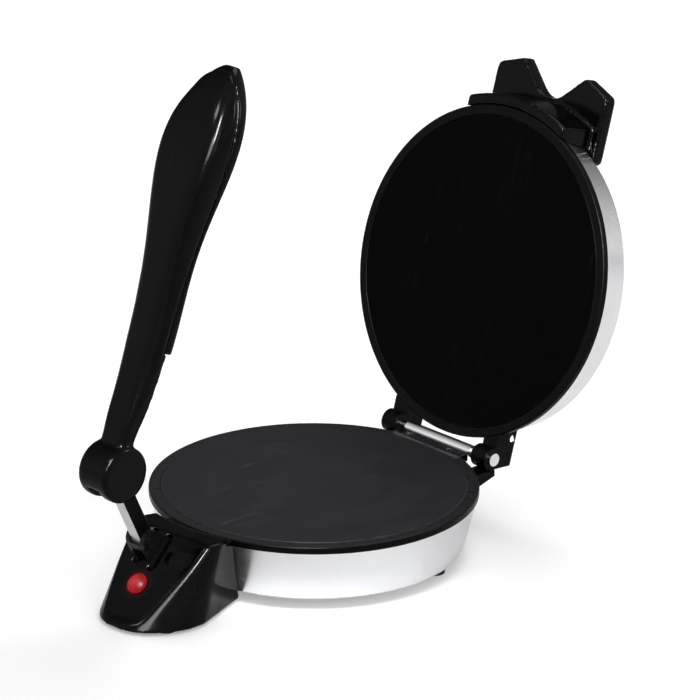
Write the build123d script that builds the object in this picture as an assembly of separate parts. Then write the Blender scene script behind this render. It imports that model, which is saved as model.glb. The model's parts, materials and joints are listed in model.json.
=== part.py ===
from build123d import *

import os
from math import atan2, cos, degrees, radians, sin, sqrt

# Electric roti maker with a hinged lid, a link and a press lever.
# Millimetres. X to the right, Y towards the lid hinge, Z up.
# The origin is the centre of the round base, at table level. The lid stands open.

# Base: heights above the table
foot_height = 7.0
sheet_thickness = 1.0
skirt_top = 45.0
rim_top = 50.0
plate_proud = 0.5
plate_thickness = 6.0

# Base: radii
skirt_radius_top = 114.4
skirt_radius_bottom = 104.5
skirt_wall = 0.8
skirt_flange = 8.0
rim_radius = 115.0
rim_ledge = 7.0
rim_ledge_thickness = 2.0
rim_edge_round = 1.0
plate_radius = 106.8
pan_radius = 103.0

# Lid, described closed over the base
plate_gap = 1.2
lid_plate_radius = 110.0
lid_rim_radius = 117.0
lid_rim_height = 5.0
lid_cover_radius_low = 115.5
lid_cover_radius_high = 111.0
lid_height = 30.0
lid_cover_wall = 0.8
lid_cover_round = 5.0

# Lid hinge
hinge_y = 122.8
hinge_z = 50.0
lid_open_angle = 106.8
hinge_rod_radius = 3.0
hinge_barrel_radius = 4.4
leaf_half_width = 32.0
leaf_thickness = 1.2
leaf_front_y = 107.8
leaf_screw_x = 20.0
leaf_screw_y = 110.4
hinge_pad_back = 117.0
arm_inner_x = 38.0
arm_width = 14.0
arm_boss_radius = 8.0
arm_top_above_front = 17.0
arm_front_y = 96.0
arm_screw_height = 12.6
arm_screw_spread = 3.9
stop_low = 33.0
stop_back_y = 125.0
stop_gap = 0.3
stop_screw_z = 37.3
rod_head_radius = 4.6
rod_head_height = 1.6

# Heaters
element_radius = 70.0
element_tube = 3.3
element_sweep = 330.0
terminal_radius = 1.5
terminal_length = 12.0
clamp_radius = 88.0
clamp_thickness = 1.2
insulation_thickness = 3.0
shield_radius = 94.0
heater_opening = 22.0
boss_circle = 50.0
boss_radius = 5.5
boss_count = 3
sleeve_radius = 4.5
thermostat_radius = 9.0
thermostat_height = 9.0
thermostat_pin_length = 6.0
strap_thickness = 1.0
strap_width = 9.0
strap_reach = 17.0
strap_boss_radius = 3.5
fuse_radius = 2.2
fuse_length = 12.0
fuse_circle = 38.0
fuse_clip_thickness = 0.6

# Screws, nuts and pins
screw_radius = 2.0
screw_head_radius = 3.8
screw_head_height = 2.4
small_screw_radius = 1.5
small_head_radius = 2.8
small_head_height = 1.8
screw_clearance = 0.2
thread_fit = 0.05
running_fit = 0.05
seat_gap = 0.1
nut_radius = 4.0
nut_height = 3.2
pin_radius = 3.0
pin_head_radius = 4.6
pin_head_height = 1.6

# Feet
foot_radius = 8.0
foot_circle = 92.0
foot_angles = (22.0, 68.0, 112.0, 158.0)
foot_recess_radius = 4.6
foot_recess_depth = 3.6
nose_pad_radius = 7.0
nose_pad_x = 24.0
nose_pad_y = 172.0

# Control housing on the front of the base
housing_low = 2.0
housing_top = 55.5
housing_shelf = 50.0
housing_wall = 2.5
housing_back_y = 98.0
housing_turn = 3.0
housing_back_half_width = 24.0
top_half_width = 37.6
top_shoulder_y = 130.0
top_nose_y = 160.5
top_fullness = 0.72
foot_half_width = 40.0
foot_shoulder_y = 151.0
foot_nose_y = 197.0
foot_fullness = 0.71
slope_start_y = 141.6
slope_end_y = 189.0
slope_end_z = 8.1
nose_tip_z = 3.6
shelf_radius = 126.2
housing_edge_round = 2.5
floor_thickness = 2.0
skirt_fit = 0.2
wire_hole_radius = 7.0
wire_hole_z = 24.0
housing_screw_angle = 10.5
housing_boss_length = 8.0
floor_screw_x = 28.0
floor_screw_y = 150.0
floor_screw_nose_y = 183.0

# Indicator lamp on the slope
lamp_x = -3.6
lamp_y = 171.3
lamp_radius = 7.5
lamp_dome = 3.5
lamp_flange = 1.5
lamp_depth = 5.0
lamp_wall = 1.2
neon_radius = 2.6

# Terminal block and cord gland in the housing
terminal_block_x = 20.0
terminal_block_y = 134.0
terminal_block_width = 13.0
terminal_block_length = 22.0
terminal_block_height = 12.0
terminal_poles = 3
gland_y = 124.0
gland_z = 16.0
gland_radius = 6.5
gland_bore = 3.6
gland_collar = 9.0
gland_collar_thickness = 3.0
gland_seat_out = 1.2
gland_seat_in = 4.0

# Link between the base and the lever
link_pivot_y = 161.0
link_pivot_z = 55.0
link_length = 63.8
link_lean = 25.9
link_width = 10.0
link_depth = 11.0
link_wall = 2.0
side_gap = 0.4
ear_radius = 8.0
ear_thickness = 3.6
ear_front_y = 160.5
ear_back_y = 141.5
ear_slope_front_z = 36.0
ear_slope_back_z = 51.0
tongue_half_width = 14.0
tongue_thickness = 3.0
tongue_end_y = 78.0
tongue_screw_x = 8.0
tongue_screw_y = 88.0
slot_gap = 0.3
slot_front_gap = 1.4

# Lever
lever_lean = 21.0
hub_radius = 20.0
hub_width = 28.0
hub_edge_round = 2.5
hub_side_wall = 3.0
lever_swing_back = 70.0
lever_swing_forward = 1.5
root_place = 8.0
neck_place = 34.0
neck_half_width = 12.2
neck_half_depth = 7.2
neck_shift = -2.6
grip_place = 110.0
grip_half_width = 17.4
grip_half_depth = 9.8
grip_shift = 0.2
waist_place = 182.0
waist_half_width = 23.0
waist_half_depth = 12.4
waist_shift = -3.8
paddle_place = 232.0
paddle_half_width = 27.6
paddle_half_depth = 14.6
paddle_shift = -2.2
shoulder_place = 264.0
shoulder_half_width = 21.5
shoulder_half_depth = 11.6
shoulder_shift = 2.4
tip_place = 287.0
tip_half_width = 5.5
tip_half_depth = 3.0
tip_shift = 9.6
neck_corner = 4.0
paddle_corner = 6.0
tip_corner = 2.4
lever_wall = 3.0
grip_cover_start = 87.0
neck_face = 4.6
grip_cover_seat = 2.2
grip_screw_places = (118.0, 252.0)
grip_screw_seat = 1.6
grip_boss_radius = 4.0

# Press saddle on the lid
saddle_half_width = 54.0
saddle_inner = 90.5
saddle_corner = 140.0
saddle_tip_x = 30.0
saddle_tip = 148.6
saddle_thickness = 10.8
saddle_corner_round = 5.0
saddle_tip_round = 3.0
notch_point = 120.4
notch_round = 18.0
lip_radius = 125.0
lip_half_width = 47.0
lip_fit = 0.3
saddle_edge_round = 1.5
saddle_screw_x = 30.0
saddle_screw_y = 96.0

# Levels and places that follow from the values above
pan_top = foot_height + sheet_thickness
plate_top = rim_top + plate_proud
plate_bottom = plate_top - plate_thickness
lid_front = plate_top + plate_gap
lid_top = lid_front + lid_height
lid_rim_top = lid_front + lid_rim_height
lid_plate_back = lid_front + plate_thickness
mirror_z = (plate_top + lid_front) / 2
element_z = plate_bottom - element_tube - thread_fit
clamp_top = element_z - element_tube - thread_fit
clamp_bottom = clamp_top - clamp_thickness
shield_top = clamp_bottom - insulation_thickness
shield_bottom = shield_top - sheet_thickness
lid_shield_back = 2 * mirror_z - shield_bottom
hole_radius = screw_radius + screw_clearance
small_hole_radius = small_screw_radius + screw_clearance
saddle_top = lid_top + saddle_thickness
hinge_axis = Axis((0, hinge_y, hinge_z), (1, 0, 0))
slope = (housing_top - slope_end_z) / (slope_end_y - slope_start_y)
slope_angle = degrees(atan2(housing_top - slope_end_z, slope_end_y - slope_start_y))
housing_angle = housing_turn - 90
skirt_tilt = degrees(atan2(skirt_radius_top - skirt_radius_bottom, skirt_top - pan_top))
cover_tilt = degrees(atan2(lid_cover_radius_low - lid_cover_radius_high, lid_top - lid_rim_top))
lever_pin_y = -link_pivot_y - link_length * sin(radians(link_lean))
lever_pin_z = link_pivot_z + link_length * cos(radians(link_lean))
floor_top = housing_low + floor_thickness


def rod(radius, start, end):
    """Cylinder between two points."""
    along = Vector(*end) - Vector(*start)
    return extrude(Plane(origin=start, z_dir=along) * Circle(radius), along.length)


def column(radius, x, y, low, high):
    return rod(radius, (x, y, low), (x, y, high))


def block(x_low, x_high, y_low, y_high, z_low, z_high):
    size = Box(x_high - x_low, y_high - y_low, z_high - z_low)
    return Pos((x_low + x_high) / 2, (y_low + y_high) / 2, (z_low + z_high) / 2) * size


def turned(points):
    """Solid of revolution about Z from (radius, height) points."""
    return revolve(make_face(Plane.XZ * Polyline(*points, close=True)), Axis.Z)


def profile_x(points, x_low, x_high):
    """Solid with a (y, z) outline between two X values."""
    outline = Plane.YZ.offset(x_low) * Polyline(*points, close=True)
    return extrude(make_face(outline), x_high - x_low, dir=(1, 0, 0))


def around(radius, angle):
    return radius * cos(radians(angle)), radius * sin(radians(angle))


def lid_pose(shape):
    """Turns a part that is described closed into the open rest pose."""
    return shape.rotate(hinge_axis, -lid_open_angle)


def flipped(shape):
    """Mirrors a part of the lower heater into the closed lid."""
    return mirror(shape, Plane.XY.offset(mirror_z))


def skirt_radius(z):
    """Outer radius of the tapered skirt at a height."""
    share = (z - pan_top) / (skirt_top - pan_top)
    return skirt_radius_bottom + share * (skirt_radius_top - skirt_radius_bottom)


def cover_radius(z):
    """Outer radius of the closed lid's cover at a height."""
    share = (z - lid_rim_top) / (lid_top - lid_rim_top)
    return lid_cover_radius_low + share * (lid_cover_radius_high - lid_cover_radius_low)


def skirt_plane(angle, z):
    """Plane on the skirt's outer face, with its Z along the outward normal."""
    x, y = around(skirt_radius(z), angle)
    flat_x, flat_y = around(cos(radians(skirt_tilt)), angle)
    return Plane(origin=(x, y, z), z_dir=(flat_x, flat_y, -sin(radians(skirt_tilt))))


def cover_plane(angle, z):
    """Plane on the closed cover's outer face, with its Z along the outward normal."""
    x, y = around(cover_radius(z), angle)
    flat_x, flat_y = around(cos(radians(cover_tilt)), angle)
    return Plane(origin=(x, y, z), z_dir=(flat_x, flat_y, sin(radians(cover_tilt))))


def on_plane(plane, radius, low, high):
    """Cylinder along a plane's normal between two distances from it."""
    return extrude(plane.offset(low) * Circle(radius), high - low)


def skirt_form(gap):
    """Outer form of the skirt and rim, grown by a gap."""
    return turned([
        (0, 0),
        (skirt_radius(0) + gap, 0),
        (skirt_radius_top + gap, skirt_top),
        (rim_radius + gap, skirt_top),
        (rim_radius + gap, housing_shelf + 1),
        (0, housing_shelf + 1),
    ])


def lid_form(gap):
    """Outer form of the closed lid's rim and cover, grown sideways by a gap."""
    return turned([
        (0, lid_front - 1),
        (lid_rim_radius + gap, lid_front - 1),
        (lid_rim_radius + gap, lid_rim_top + gap),
        (lid_cover_radius_low + gap, lid_rim_top + gap),
        (lid_cover_radius_high + gap, lid_top),
        (0, lid_top),
    ])


def screw_at(plane, radius, head_radius, head_height, length):
    """Screw whose head stands under a plane and whose shank points along its normal."""
    head = on_plane(plane, head_radius, -head_height, 0)
    return head + on_plane(plane, radius, -head_height / 2, length)


boss_places = [around(boss_circle, 90 + 360 / boss_count * i) for i in range(boss_count)]
foot_places = [around(foot_circle, angle) for angle in foot_angles]
floor_screw_places = [
    (-floor_screw_x, -floor_screw_y),
    (floor_screw_x, -floor_screw_y),
    (0, -floor_screw_nose_y),
]
housing_screw_planes = [skirt_plane(-90 + side * housing_screw_angle, wire_hole_z) for side in (-1, 1)]
skirt_screw_planes = [skirt_plane(housing_angle + side * housing_screw_angle, wire_hole_z) for side in (-1, 1)]
arm_middle_x = arm_inner_x + arm_width / 2
stop_angle = degrees(atan2(sqrt(skirt_radius(stop_screw_z) ** 2 - arm_middle_x ** 2), arm_middle_x))
stop_planes = [skirt_plane(angle, stop_screw_z) for angle in (stop_angle, 180 - stop_angle)]


# Base shell

def make_skirt():
    inner_low = skirt_radius(pan_top + skirt_wall) - skirt_wall
    skirt = turned([
        (skirt_radius_bottom, pan_top),
        (skirt_radius_top, skirt_top),
        (skirt_radius_top - skirt_wall, skirt_top),
        (inner_low, pan_top + skirt_wall),
        (skirt_radius_bottom - skirt_flange, pan_top + skirt_wall),
        (skirt_radius_bottom - skirt_flange, pan_top),
    ])
    skirt -= on_plane(skirt_plane(housing_angle, wire_hole_z), wire_hole_radius, -5, 5)
    for plane in skirt_screw_planes + stop_planes:
        skirt -= on_plane(plane, hole_radius, -5, 5)
    return skirt


def make_rim():
    inside = plate_radius + skirt_fit
    ledge_low = plate_bottom - rim_ledge_thickness
    collar = skirt_radius(ledge_low) - skirt_wall - skirt_fit
    rim = turned([
        (rim_radius, rim_top),
        (rim_radius, skirt_top),
        (collar, skirt_top),
        (collar, ledge_low),
        (inside - rim_ledge, ledge_low),
        (inside - rim_ledge, plate_bottom),
        (inside, plate_bottom),
        (inside, rim_top),
    ])
    edge = rim.edges().filter_by(GeomType.CIRCLE).sort_by(SortBy.RADIUS)[-2:].sort_by(Axis.Z)[-1]
    rim = fillet(edge, rim_edge_round)
    pad = block(-leaf_half_width - 1, leaf_half_width + 1, leaf_front_y, hinge_pad_back, skirt_top, rim_top)
    rim += pad - column(inside + 0.5, 0, 0, skirt_top, rim_top)
    for x in (-leaf_screw_x, leaf_screw_x):
        rim -= column(small_screw_radius + thread_fit, x, leaf_screw_y, skirt_top + 0.8, rim_top)
    return rim


def make_pan():
    pan = column(pan_radius, 0, 0, foot_height, pan_top)
    for x, y in boss_places + foot_places:
        pan -= column(hole_radius, x, y, foot_height, pan_top)
    for x in (-tongue_screw_x, tongue_screw_x):
        pan -= column(hole_radius, x, -tongue_screw_y, foot_height, pan_top)
    return pan


def make_feet():
    feet = []
    for x, y in foot_places:
        foot = Pos(x, y, 0) * Cone(foot_radius - 1, foot_radius, foot_height, align=bottom_centre)
        foot -= column(foot_recess_radius, x, y, 0, foot_recess_depth)
        feet.append(foot - column(hole_radius, x, y, 0, foot_height))
    return feet


def make_foot_screws():
    screws = []
    for x, y in foot_places:
        seat = Plane((x, y, foot_recess_depth))
        length = pan_top + nut_height + 2 - foot_recess_depth
        screws.append(screw_at(seat, screw_radius, screw_head_radius, screw_head_height, length))
    return screws


def make_nuts(places):
    nuts = []
    for x, y in places:
        nut = extrude(Pos(x, y, pan_top) * RegularPolygon(nut_radius, 6), nut_height)
        nuts.append(nut - column(screw_radius + thread_fit, x, y, pan_top, pan_top + nut_height))
    return nuts


# Heaters: the lower one, and the lid's as its mirror image

def make_plate(radius, strap_bosses):
    plate = turned([
        (0, plate_bottom),
        (radius, plate_bottom),
        (radius, plate_top - plate_proud),
        (radius - plate_proud, plate_top),
        (0, plate_top),
    ])
    for x, y in boss_places:
        plate += column(boss_radius, x, y, shield_top, plate_bottom)
        plate -= column(screw_radius + thread_fit, x, y, shield_top, plate_bottom - 2)
    if strap_bosses:
        strap_top = plate_bottom - thermostat_height
        for x in (-strap_reach, strap_reach):
            plate += column(strap_boss_radius, x, 0, strap_top, plate_bottom)
            plate -= column(small_screw_radius + thread_fit, x, 0, strap_top, plate_bottom - 1)
    return plate


def make_element():
    gap = (360 - element_sweep) / 2
    section = Plane.XZ * Pos(element_radius, element_z) * Circle(element_tube)
    tube = revolve(section, Axis.Z, element_sweep).rotate(Axis.Z, -90 + gap)
    for side in (-1, 1):
        x, y = around(element_radius, -90 + side * gap)
        start = (x + side, y + 1, element_z)
        end = (x + side, y - terminal_length, element_z)
        tube += rod(terminal_radius, start, end)
    return tube


def heater_disc(radius, low, high, boss_hole):
    disc = turned([(heater_opening, low), (radius, low), (radius, high), (heater_opening, high)])
    for x, y in boss_places:
        disc -= column(boss_hole, x, y, low, high)
    return disc


def make_clamp():
    return heater_disc(clamp_radius, clamp_bottom, clamp_top, boss_radius + screw_clearance)


def make_insulation():
    return heater_disc(clamp_radius, shield_top, clamp_bottom, boss_radius + screw_clearance)


def make_shield():
    return heater_disc(shield_radius, shield_bottom, shield_top, hole_radius)


def make_fuse():
    x, y = around(fuse_circle, -90)
    z = clamp_top + fuse_clip_thickness + fuse_radius - 0.1
    half = fuse_length / 2
    fuse = rod(fuse_radius, (x - half, y, z), (x + half, y, z))
    clip = block(-half / 2, half / 2, y - 2 * fuse_radius, y + 2 * fuse_radius,
                 clamp_top, clamp_top + fuse_clip_thickness)
    return fuse + clip


def make_thermostat():
    strap_top = plate_bottom - thermostat_height
    strap_low = strap_top - strap_thickness
    reach = strap_reach + strap_width / 2
    body = column(thermostat_radius, 0, 0, strap_low, plate_bottom)
    body += block(-reach, reach, -strap_width / 2, strap_width / 2, strap_low, strap_top)
    for side in (-1, 1):
        body -= column(small_hole_radius, side * strap_reach, 0, strap_low, strap_top)
        body += column(1, side * thermostat_radius / 2, 0, strap_top - thermostat_pin_length, strap_top)
    return body


def make_thermostat_screws():
    seat = plate_bottom - thermostat_height - strap_thickness
    screws = []
    for side in (-1, 1):
        plane = Plane((side * strap_reach, 0, seat))
        screws.append(screw_at(plane, small_screw_radius, small_head_radius, small_head_height, 7))
    return screws


def make_sleeves(low, high):
    sleeves = []
    for x, y in boss_places:
        sleeve = column(sleeve_radius, x, y, low, high)
        sleeves.append(sleeve - column(hole_radius, x, y, low, high))
    return sleeves


def make_base_tie_screws():
    length = plate_bottom - 3 - foot_height
    return [screw_at(Plane((x, y, foot_height)), screw_radius, screw_head_radius, screw_head_height, length)
            for x, y in boss_places]


# Control housing

def housing_outline(half_width, y_shoulder, y_nose, fullness, inset):
    """Closed outline of the housing at one height, pulled in by a wall."""
    back = housing_back_half_width - inset
    wide = half_width - inset
    nose = y_nose - inset
    y_mid = y_shoulder + (nose - y_shoulder) * fullness
    x_mid = wide * fullness
    right = Spline((wide, -y_shoulder), (x_mid, -y_mid), (0, -nose), tangents=((0, -1), (-1, 0)))
    left = Spline((0, -nose), (-x_mid, -y_mid), (-wide, -y_shoulder), tangents=((-1, 0), (0, 1)))
    edges = [
        Line((back, -housing_back_y), (wide, -y_shoulder)),
        right,
        left,
        Line((-wide, -y_shoulder), (-back, -housing_back_y)),
        Line((-back, -housing_back_y), (back, -housing_back_y)),
    ]
    return make_face(Curve() + edges)


def slope_height(y):
    """Height of the sloping top face in front of the shoulder."""
    return housing_top + slope * (y + slope_start_y)


def housing_body(inset, low):
    foot = housing_outline(foot_half_width, foot_shoulder_y, foot_nose_y, foot_fullness, inset)
    top = housing_outline(top_half_width, top_shoulder_y, top_nose_y, top_fullness, inset)
    body = loft([Pos(0, 0, low) * foot, Pos(0, 0, housing_top + 1) * top], ruled=True)
    sides = 2 * foot_half_width
    return body - profile_x([
        (0, housing_top - inset),
        (-slope_start_y, housing_top - inset),
        (-slope_end_y, slope_end_z - inset),
        (-foot_nose_y - 1, nose_tip_z - inset),
        (-foot_nose_y - 20, nose_tip_z - inset),
        (-foot_nose_y - 20, housing_top + 20),
        (0, housing_top + 20),
    ], -sides, sides)


def on_slope(shape):
    """Places a part that stands on XY at the origin onto the sloping face."""
    return Pos(lamp_x, -lamp_y, slope_height(-lamp_y)) * Rot(X=slope_angle) * shape


def turned_out(shape):
    """Turns a part of the housing about the base's centre into its place."""
    return Rot(Z=housing_turn) * shape


def gland_plane():
    """Plane of the housing's left side wall at the cord gland, pointing outward."""
    run_x = foot_half_width - housing_back_half_width
    run_y = foot_shoulder_y - housing_back_y
    x = housing_back_half_width + run_x * (gland_y - housing_back_y) / run_y
    return Plane(origin=(-x, -gland_y, gland_z), z_dir=(-run_y, run_x, 0))


def on_ridge(edge):
    """True for the edges between the sloping face and the side walls."""
    points = [edge @ share for share in (0.0, 0.5, 1.0)]
    level = all(abs(p.Z - slope_height(p.Y)) < 0.05 for p in points)
    return level and abs(points[0].Z - points[2].Z) > 1


def make_housing():
    shell = housing_body(0, housing_low)
    shell = fillet(shell.edges().filter_by(on_ridge), housing_edge_round)
    shell -= column(shelf_radius, 0, 0, housing_shelf, housing_top + 5)
    shell -= skirt_form(skirt_fit)
    hollow = housing_body(housing_wall, housing_low - 1)
    hollow -= column(shelf_radius + housing_wall, 0, 0, housing_shelf - housing_wall, housing_top + 5)
    hollow -= skirt_form(skirt_fit + housing_wall)
    for x, y in floor_screw_places:
        hollow -= column(small_screw_radius + 2.2, x, y, floor_top, housing_top)
    for plane in housing_screw_planes:
        hollow -= on_plane(plane, screw_radius + 2.5, 0, housing_boss_length + 2)
    seat = gland_plane()
    gland_seat = on_plane(seat, gland_collar + 1, -gland_seat_in, gland_seat_out)
    hollow -= gland_seat
    shell -= hollow
    shell += gland_seat
    shell -= on_plane(seat, gland_radius + thread_fit, -gland_seat_in - 1, gland_seat_out + 1)
    shell -= on_plane(skirt_plane(-90, wire_hole_z), wire_hole_radius, -1, 10)
    for plane in housing_screw_planes:
        shell -= on_plane(plane, screw_radius + thread_fit, -1, housing_boss_length)
    for x, y in floor_screw_places:
        shell -= column(small_screw_radius + thread_fit, x, y, 0, min(slope_height(y) - 4, floor_top + 8))
    shell -= on_slope(Pos(0, 0, -lamp_depth) * Cylinder(lamp_radius - 1, 2 * lamp_depth))
    shell = turned_out(shell)
    for side in (-1, 1):
        inner = link_width / 2 + side_gap - slot_gap
        outer = link_width / 2 + side_gap + ear_thickness + slot_gap
        low_x, high_x = sorted((side * inner, side * outer))
        shell -= block(low_x, high_x, -ear_front_y - slot_front_gap, -ear_back_y + slot_gap,
                       floor_top + 2, housing_top)
    tongue = tongue_half_width + slot_gap
    shell -= block(-tongue, tongue, -ear_front_y + 5, -housing_back_y, floor_top, foot_height + slot_gap)
    return shell


def make_housing_floor():
    reach = foot_nose_y + 1
    floor = housing_body(housing_wall + skirt_fit, housing_low - 1)
    floor &= block(-reach, reach, -reach, 0, housing_low, floor_top)
    floor -= column(skirt_radius(floor_top) + 2 * skirt_fit + housing_wall, 0, 0, 0, floor_top)
    for x, y in floor_screw_places:
        floor -= column(small_hole_radius, x, y, 0, floor_top)
    return floor


def make_floor_screws():
    screws = []
    for x, y in floor_screw_places:
        length = min(slope_height(y) - 5, floor_top + 7) - housing_low
        plane = Plane((x, y, housing_low))
        screws.append(screw_at(plane, small_screw_radius, small_head_radius, small_head_height, length))
    return screws


def make_nose_pads():
    return [column(nose_pad_radius, x, -nose_pad_y, 0, housing_low) for x in (-nose_pad_x, nose_pad_x)]


def make_housing_screws():
    screws = []
    for plane in skirt_screw_planes:
        seat = plane.offset(-skirt_wall - seat_gap)
        screws.append(screw_at(seat, screw_radius, screw_head_radius, screw_head_height, housing_boss_length - 1))
    return screws


def make_lens():
    inner = lamp_radius - 1 - thread_fit
    dome_radius = (lamp_radius ** 2 + lamp_dome ** 2) / (2 * lamp_dome)
    dome = Pos(0, 0, lamp_flange + lamp_dome - dome_radius) * Sphere(dome_radius)
    dome &= Pos(0, 0, lamp_flange) * Cylinder(lamp_radius, lamp_dome, align=bottom_centre)
    lens = Cylinder(lamp_radius, lamp_flange, align=bottom_centre) + dome
    lens += Cylinder(inner, lamp_depth, align=top_centre)
    hollow = Cylinder(inner - lamp_wall, lamp_flange + lamp_depth, align=top_centre)
    return on_slope(lens - Pos(0, 0, lamp_flange) * hollow)


def make_neon():
    holder = Pos(0, 0, -lamp_depth) * Cylinder(lamp_radius - 1 - thread_fit, 1.5, align=top_centre)
    holder += Pos(0, 0, -lamp_depth) * Cylinder(neon_radius, lamp_depth, align=bottom_centre)
    for side in (-1, 1):
        lead = Pos(side * 1.5, 0, -lamp_depth - 1.5) * Cylinder(0.4, 3, align=top_centre)
        holder += lead
    return on_slope(holder)


def make_terminal_block():
    length = terminal_block_length
    low_x = terminal_block_x - terminal_block_width / 2
    high_x = terminal_block_x + terminal_block_width / 2
    low_y = -terminal_block_y - length / 2
    top = floor_top + terminal_block_height
    body = block(low_x, high_x, low_y, low_y + length, floor_top, top)
    pitch = length / terminal_poles
    for pole in range(terminal_poles):
        y = low_y + pitch * (pole + 0.5)
        body -= rod(2, (low_x, y, floor_top + 5), (high_x, y, floor_top + 5))
        for side in (-1, 1):
            body -= column(2, terminal_block_x + side * terminal_block_width / 4, y, floor_top + 5, top)
    return body


def make_gland():
    seat = gland_plane()
    inner_end = -gland_seat_in - gland_collar_thickness
    outer_end = gland_seat_out + gland_collar_thickness
    gland = on_plane(seat, gland_radius, inner_end, outer_end)
    gland += on_plane(seat, gland_collar, gland_seat_out, outer_end)
    gland += on_plane(seat, gland_collar, inner_end, -gland_seat_in)
    return gland - on_plane(seat, gland_bore, inner_end, outer_end)


# Pivot bracket and link

def link_point(along, across):
    """(y, z) of a point in the link's frame; across is positive towards the lid."""
    lean = radians(link_lean)
    y = -link_pivot_y - along * sin(lean) + across * cos(lean)
    return y, link_pivot_z + along * cos(lean) + across * sin(lean)


def make_pivot_bracket():
    inner = link_width / 2 + side_gap
    outer = inner + ear_thickness
    tongue_low = foot_height - tongue_thickness
    head = Pos(-link_pivot_y, link_pivot_z) * Circle(ear_radius)
    root = Polyline((-ear_front_y, ear_slope_front_z), (-ear_back_y, ear_slope_front_z),
                    (-ear_back_y, ear_slope_back_z), close=True)
    ear_face = Plane.YZ * make_hull(head.edges() + root.edges())
    bracket = block(-tongue_half_width, tongue_half_width, -ear_front_y, -tongue_end_y, tongue_low, foot_height)
    for side in (-1, 1):
        low_x, high_x = sorted((side * inner, side * outer))
        ear = extrude(Pos(low_x, 0, 0) * ear_face, ear_thickness, dir=(1, 0, 0))
        ear += block(low_x, high_x, -ear_front_y, -ear_back_y, tongue_low, ear_slope_front_z + 10)
        bracket += ear
    stop_out = link_depth / 2 + slot_gap
    bracket += profile_x([
        link_point(1, -stop_out),
        link_point(1, -stop_out - 2),
        link_point(-4, -stop_out - 2),
        link_point(-4, -stop_out),
    ], -outer, outer)
    bracket -= rod(pin_radius + running_fit, (-outer, -link_pivot_y, link_pivot_z),
                   (outer, -link_pivot_y, link_pivot_z))
    for x in (-tongue_screw_x, tongue_screw_x):
        bracket -= column(hole_radius, x, -tongue_screw_y, 0, foot_height)
    return bracket


def make_bracket_screws():
    seat = foot_height - tongue_thickness
    length = pan_top + nut_height + 1 - seat
    return [screw_at(Plane((x, -tongue_screw_y, seat)), screw_radius, screw_head_radius, screw_head_height, length)
            for x in (-tongue_screw_x, tongue_screw_x)]


def make_link():
    half = link_depth / 2
    lower = Pos(*link_point(0, 0)) * Circle(half)
    upper = Pos(*link_point(link_length, 0)) * Circle(half)
    bar = Plane.YZ * make_hull(lower.edges() + upper.edges())
    link = extrude(Pos(-link_width / 2, 0, 0) * bar, link_width, dir=(1, 0, 0))
    inside = link_width / 2 - link_wall
    channel = profile_x([
        link_point(-2 * half, half + 1),
        link_point(-2 * half, -half + link_wall),
        link_point(link_length + 2 * half, -half + link_wall),
        link_point(link_length + 2 * half, half + 1),
    ], -inside, inside)
    link -= channel
    for along in (0, link_length):
        y, z = link_point(along, 0)
        link -= rod(pin_radius + running_fit, (-link_width, y, z), (link_width, y, z))
    return link


def make_link_pin():
    reach = link_width / 2 + side_gap + ear_thickness
    y, z = link_point(0, 0)
    pin = rod(pin_radius, (-reach - 0.5, y, z), (reach + 0.5, y, z))
    for side in (-1, 1):
        pin += rod(pin_head_radius, (side * reach, y, z), (side * (reach + pin_head_height), y, z))
    return pin


# Lever

def lever_plane(along):
    """Plane across the lever; its Y points towards the lid."""
    lean = radians(lever_lean)
    origin = (0, lever_pin_y + along * sin(lean), lever_pin_z + along * cos(lean))
    return Plane(origin=origin, x_dir=(1, 0, 0), z_dir=(0, sin(lean), cos(lean)))


def lever_point(along, across):
    point = lever_plane(along).from_local_coords((0, across, 0))
    return point.Y, point.Z


def lever_section(place, half_width, half_depth, shift, corner, inset):
    wide = max(half_width - inset, 1.5)
    deep = max(half_depth - inset, 1.5)
    section = RectangleRounded(2 * wide, 2 * deep, max(corner - inset, 1))
    return lever_plane(place) * Pos(0, shift) * section


def lever_blank(inset):
    """Outer form of the lever above its hub, pulled in by a wall."""
    return loft([
        lever_section(root_place, neck_half_width, neck_half_depth, neck_shift, neck_corner, inset),
        lever_section(neck_place, neck_half_width, neck_half_depth, neck_shift, neck_corner, inset),
        lever_section(grip_place, grip_half_width, grip_half_depth, grip_shift, neck_corner, inset),
        lever_section(waist_place, waist_half_width, waist_half_depth, waist_shift, paddle_corner, inset),
        lever_section(paddle_place, paddle_half_width, paddle_half_depth, paddle_shift, paddle_corner, inset),
        lever_section(shoulder_place, shoulder_half_width, shoulder_half_depth, shoulder_shift,
                      paddle_corner, inset),
        lever_section(tip_place, tip_half_width, tip_half_depth, tip_shift, tip_corner, inset),
    ])


def lever_slab(start, end, low, high):
    """Box-shaped space between two places along the lever and two levels across it."""
    corners = [(start, low), (start, high), (end, high), (end, low)]
    return profile_x([lever_point(*corner) for corner in corners], -2 * hub_radius, 2 * hub_radius)


def cover_space():
    return lever_slab(grip_cover_start, tip_place + 1, grip_cover_seat, 2 * hub_radius)


def grip_screw_axis(place, radius, low, high):
    y_low, z_low = lever_point(place, low)
    y_high, z_high = lever_point(place, high)
    return rod(radius, (0, y_low, z_low), (0, y_high, z_high))


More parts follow.
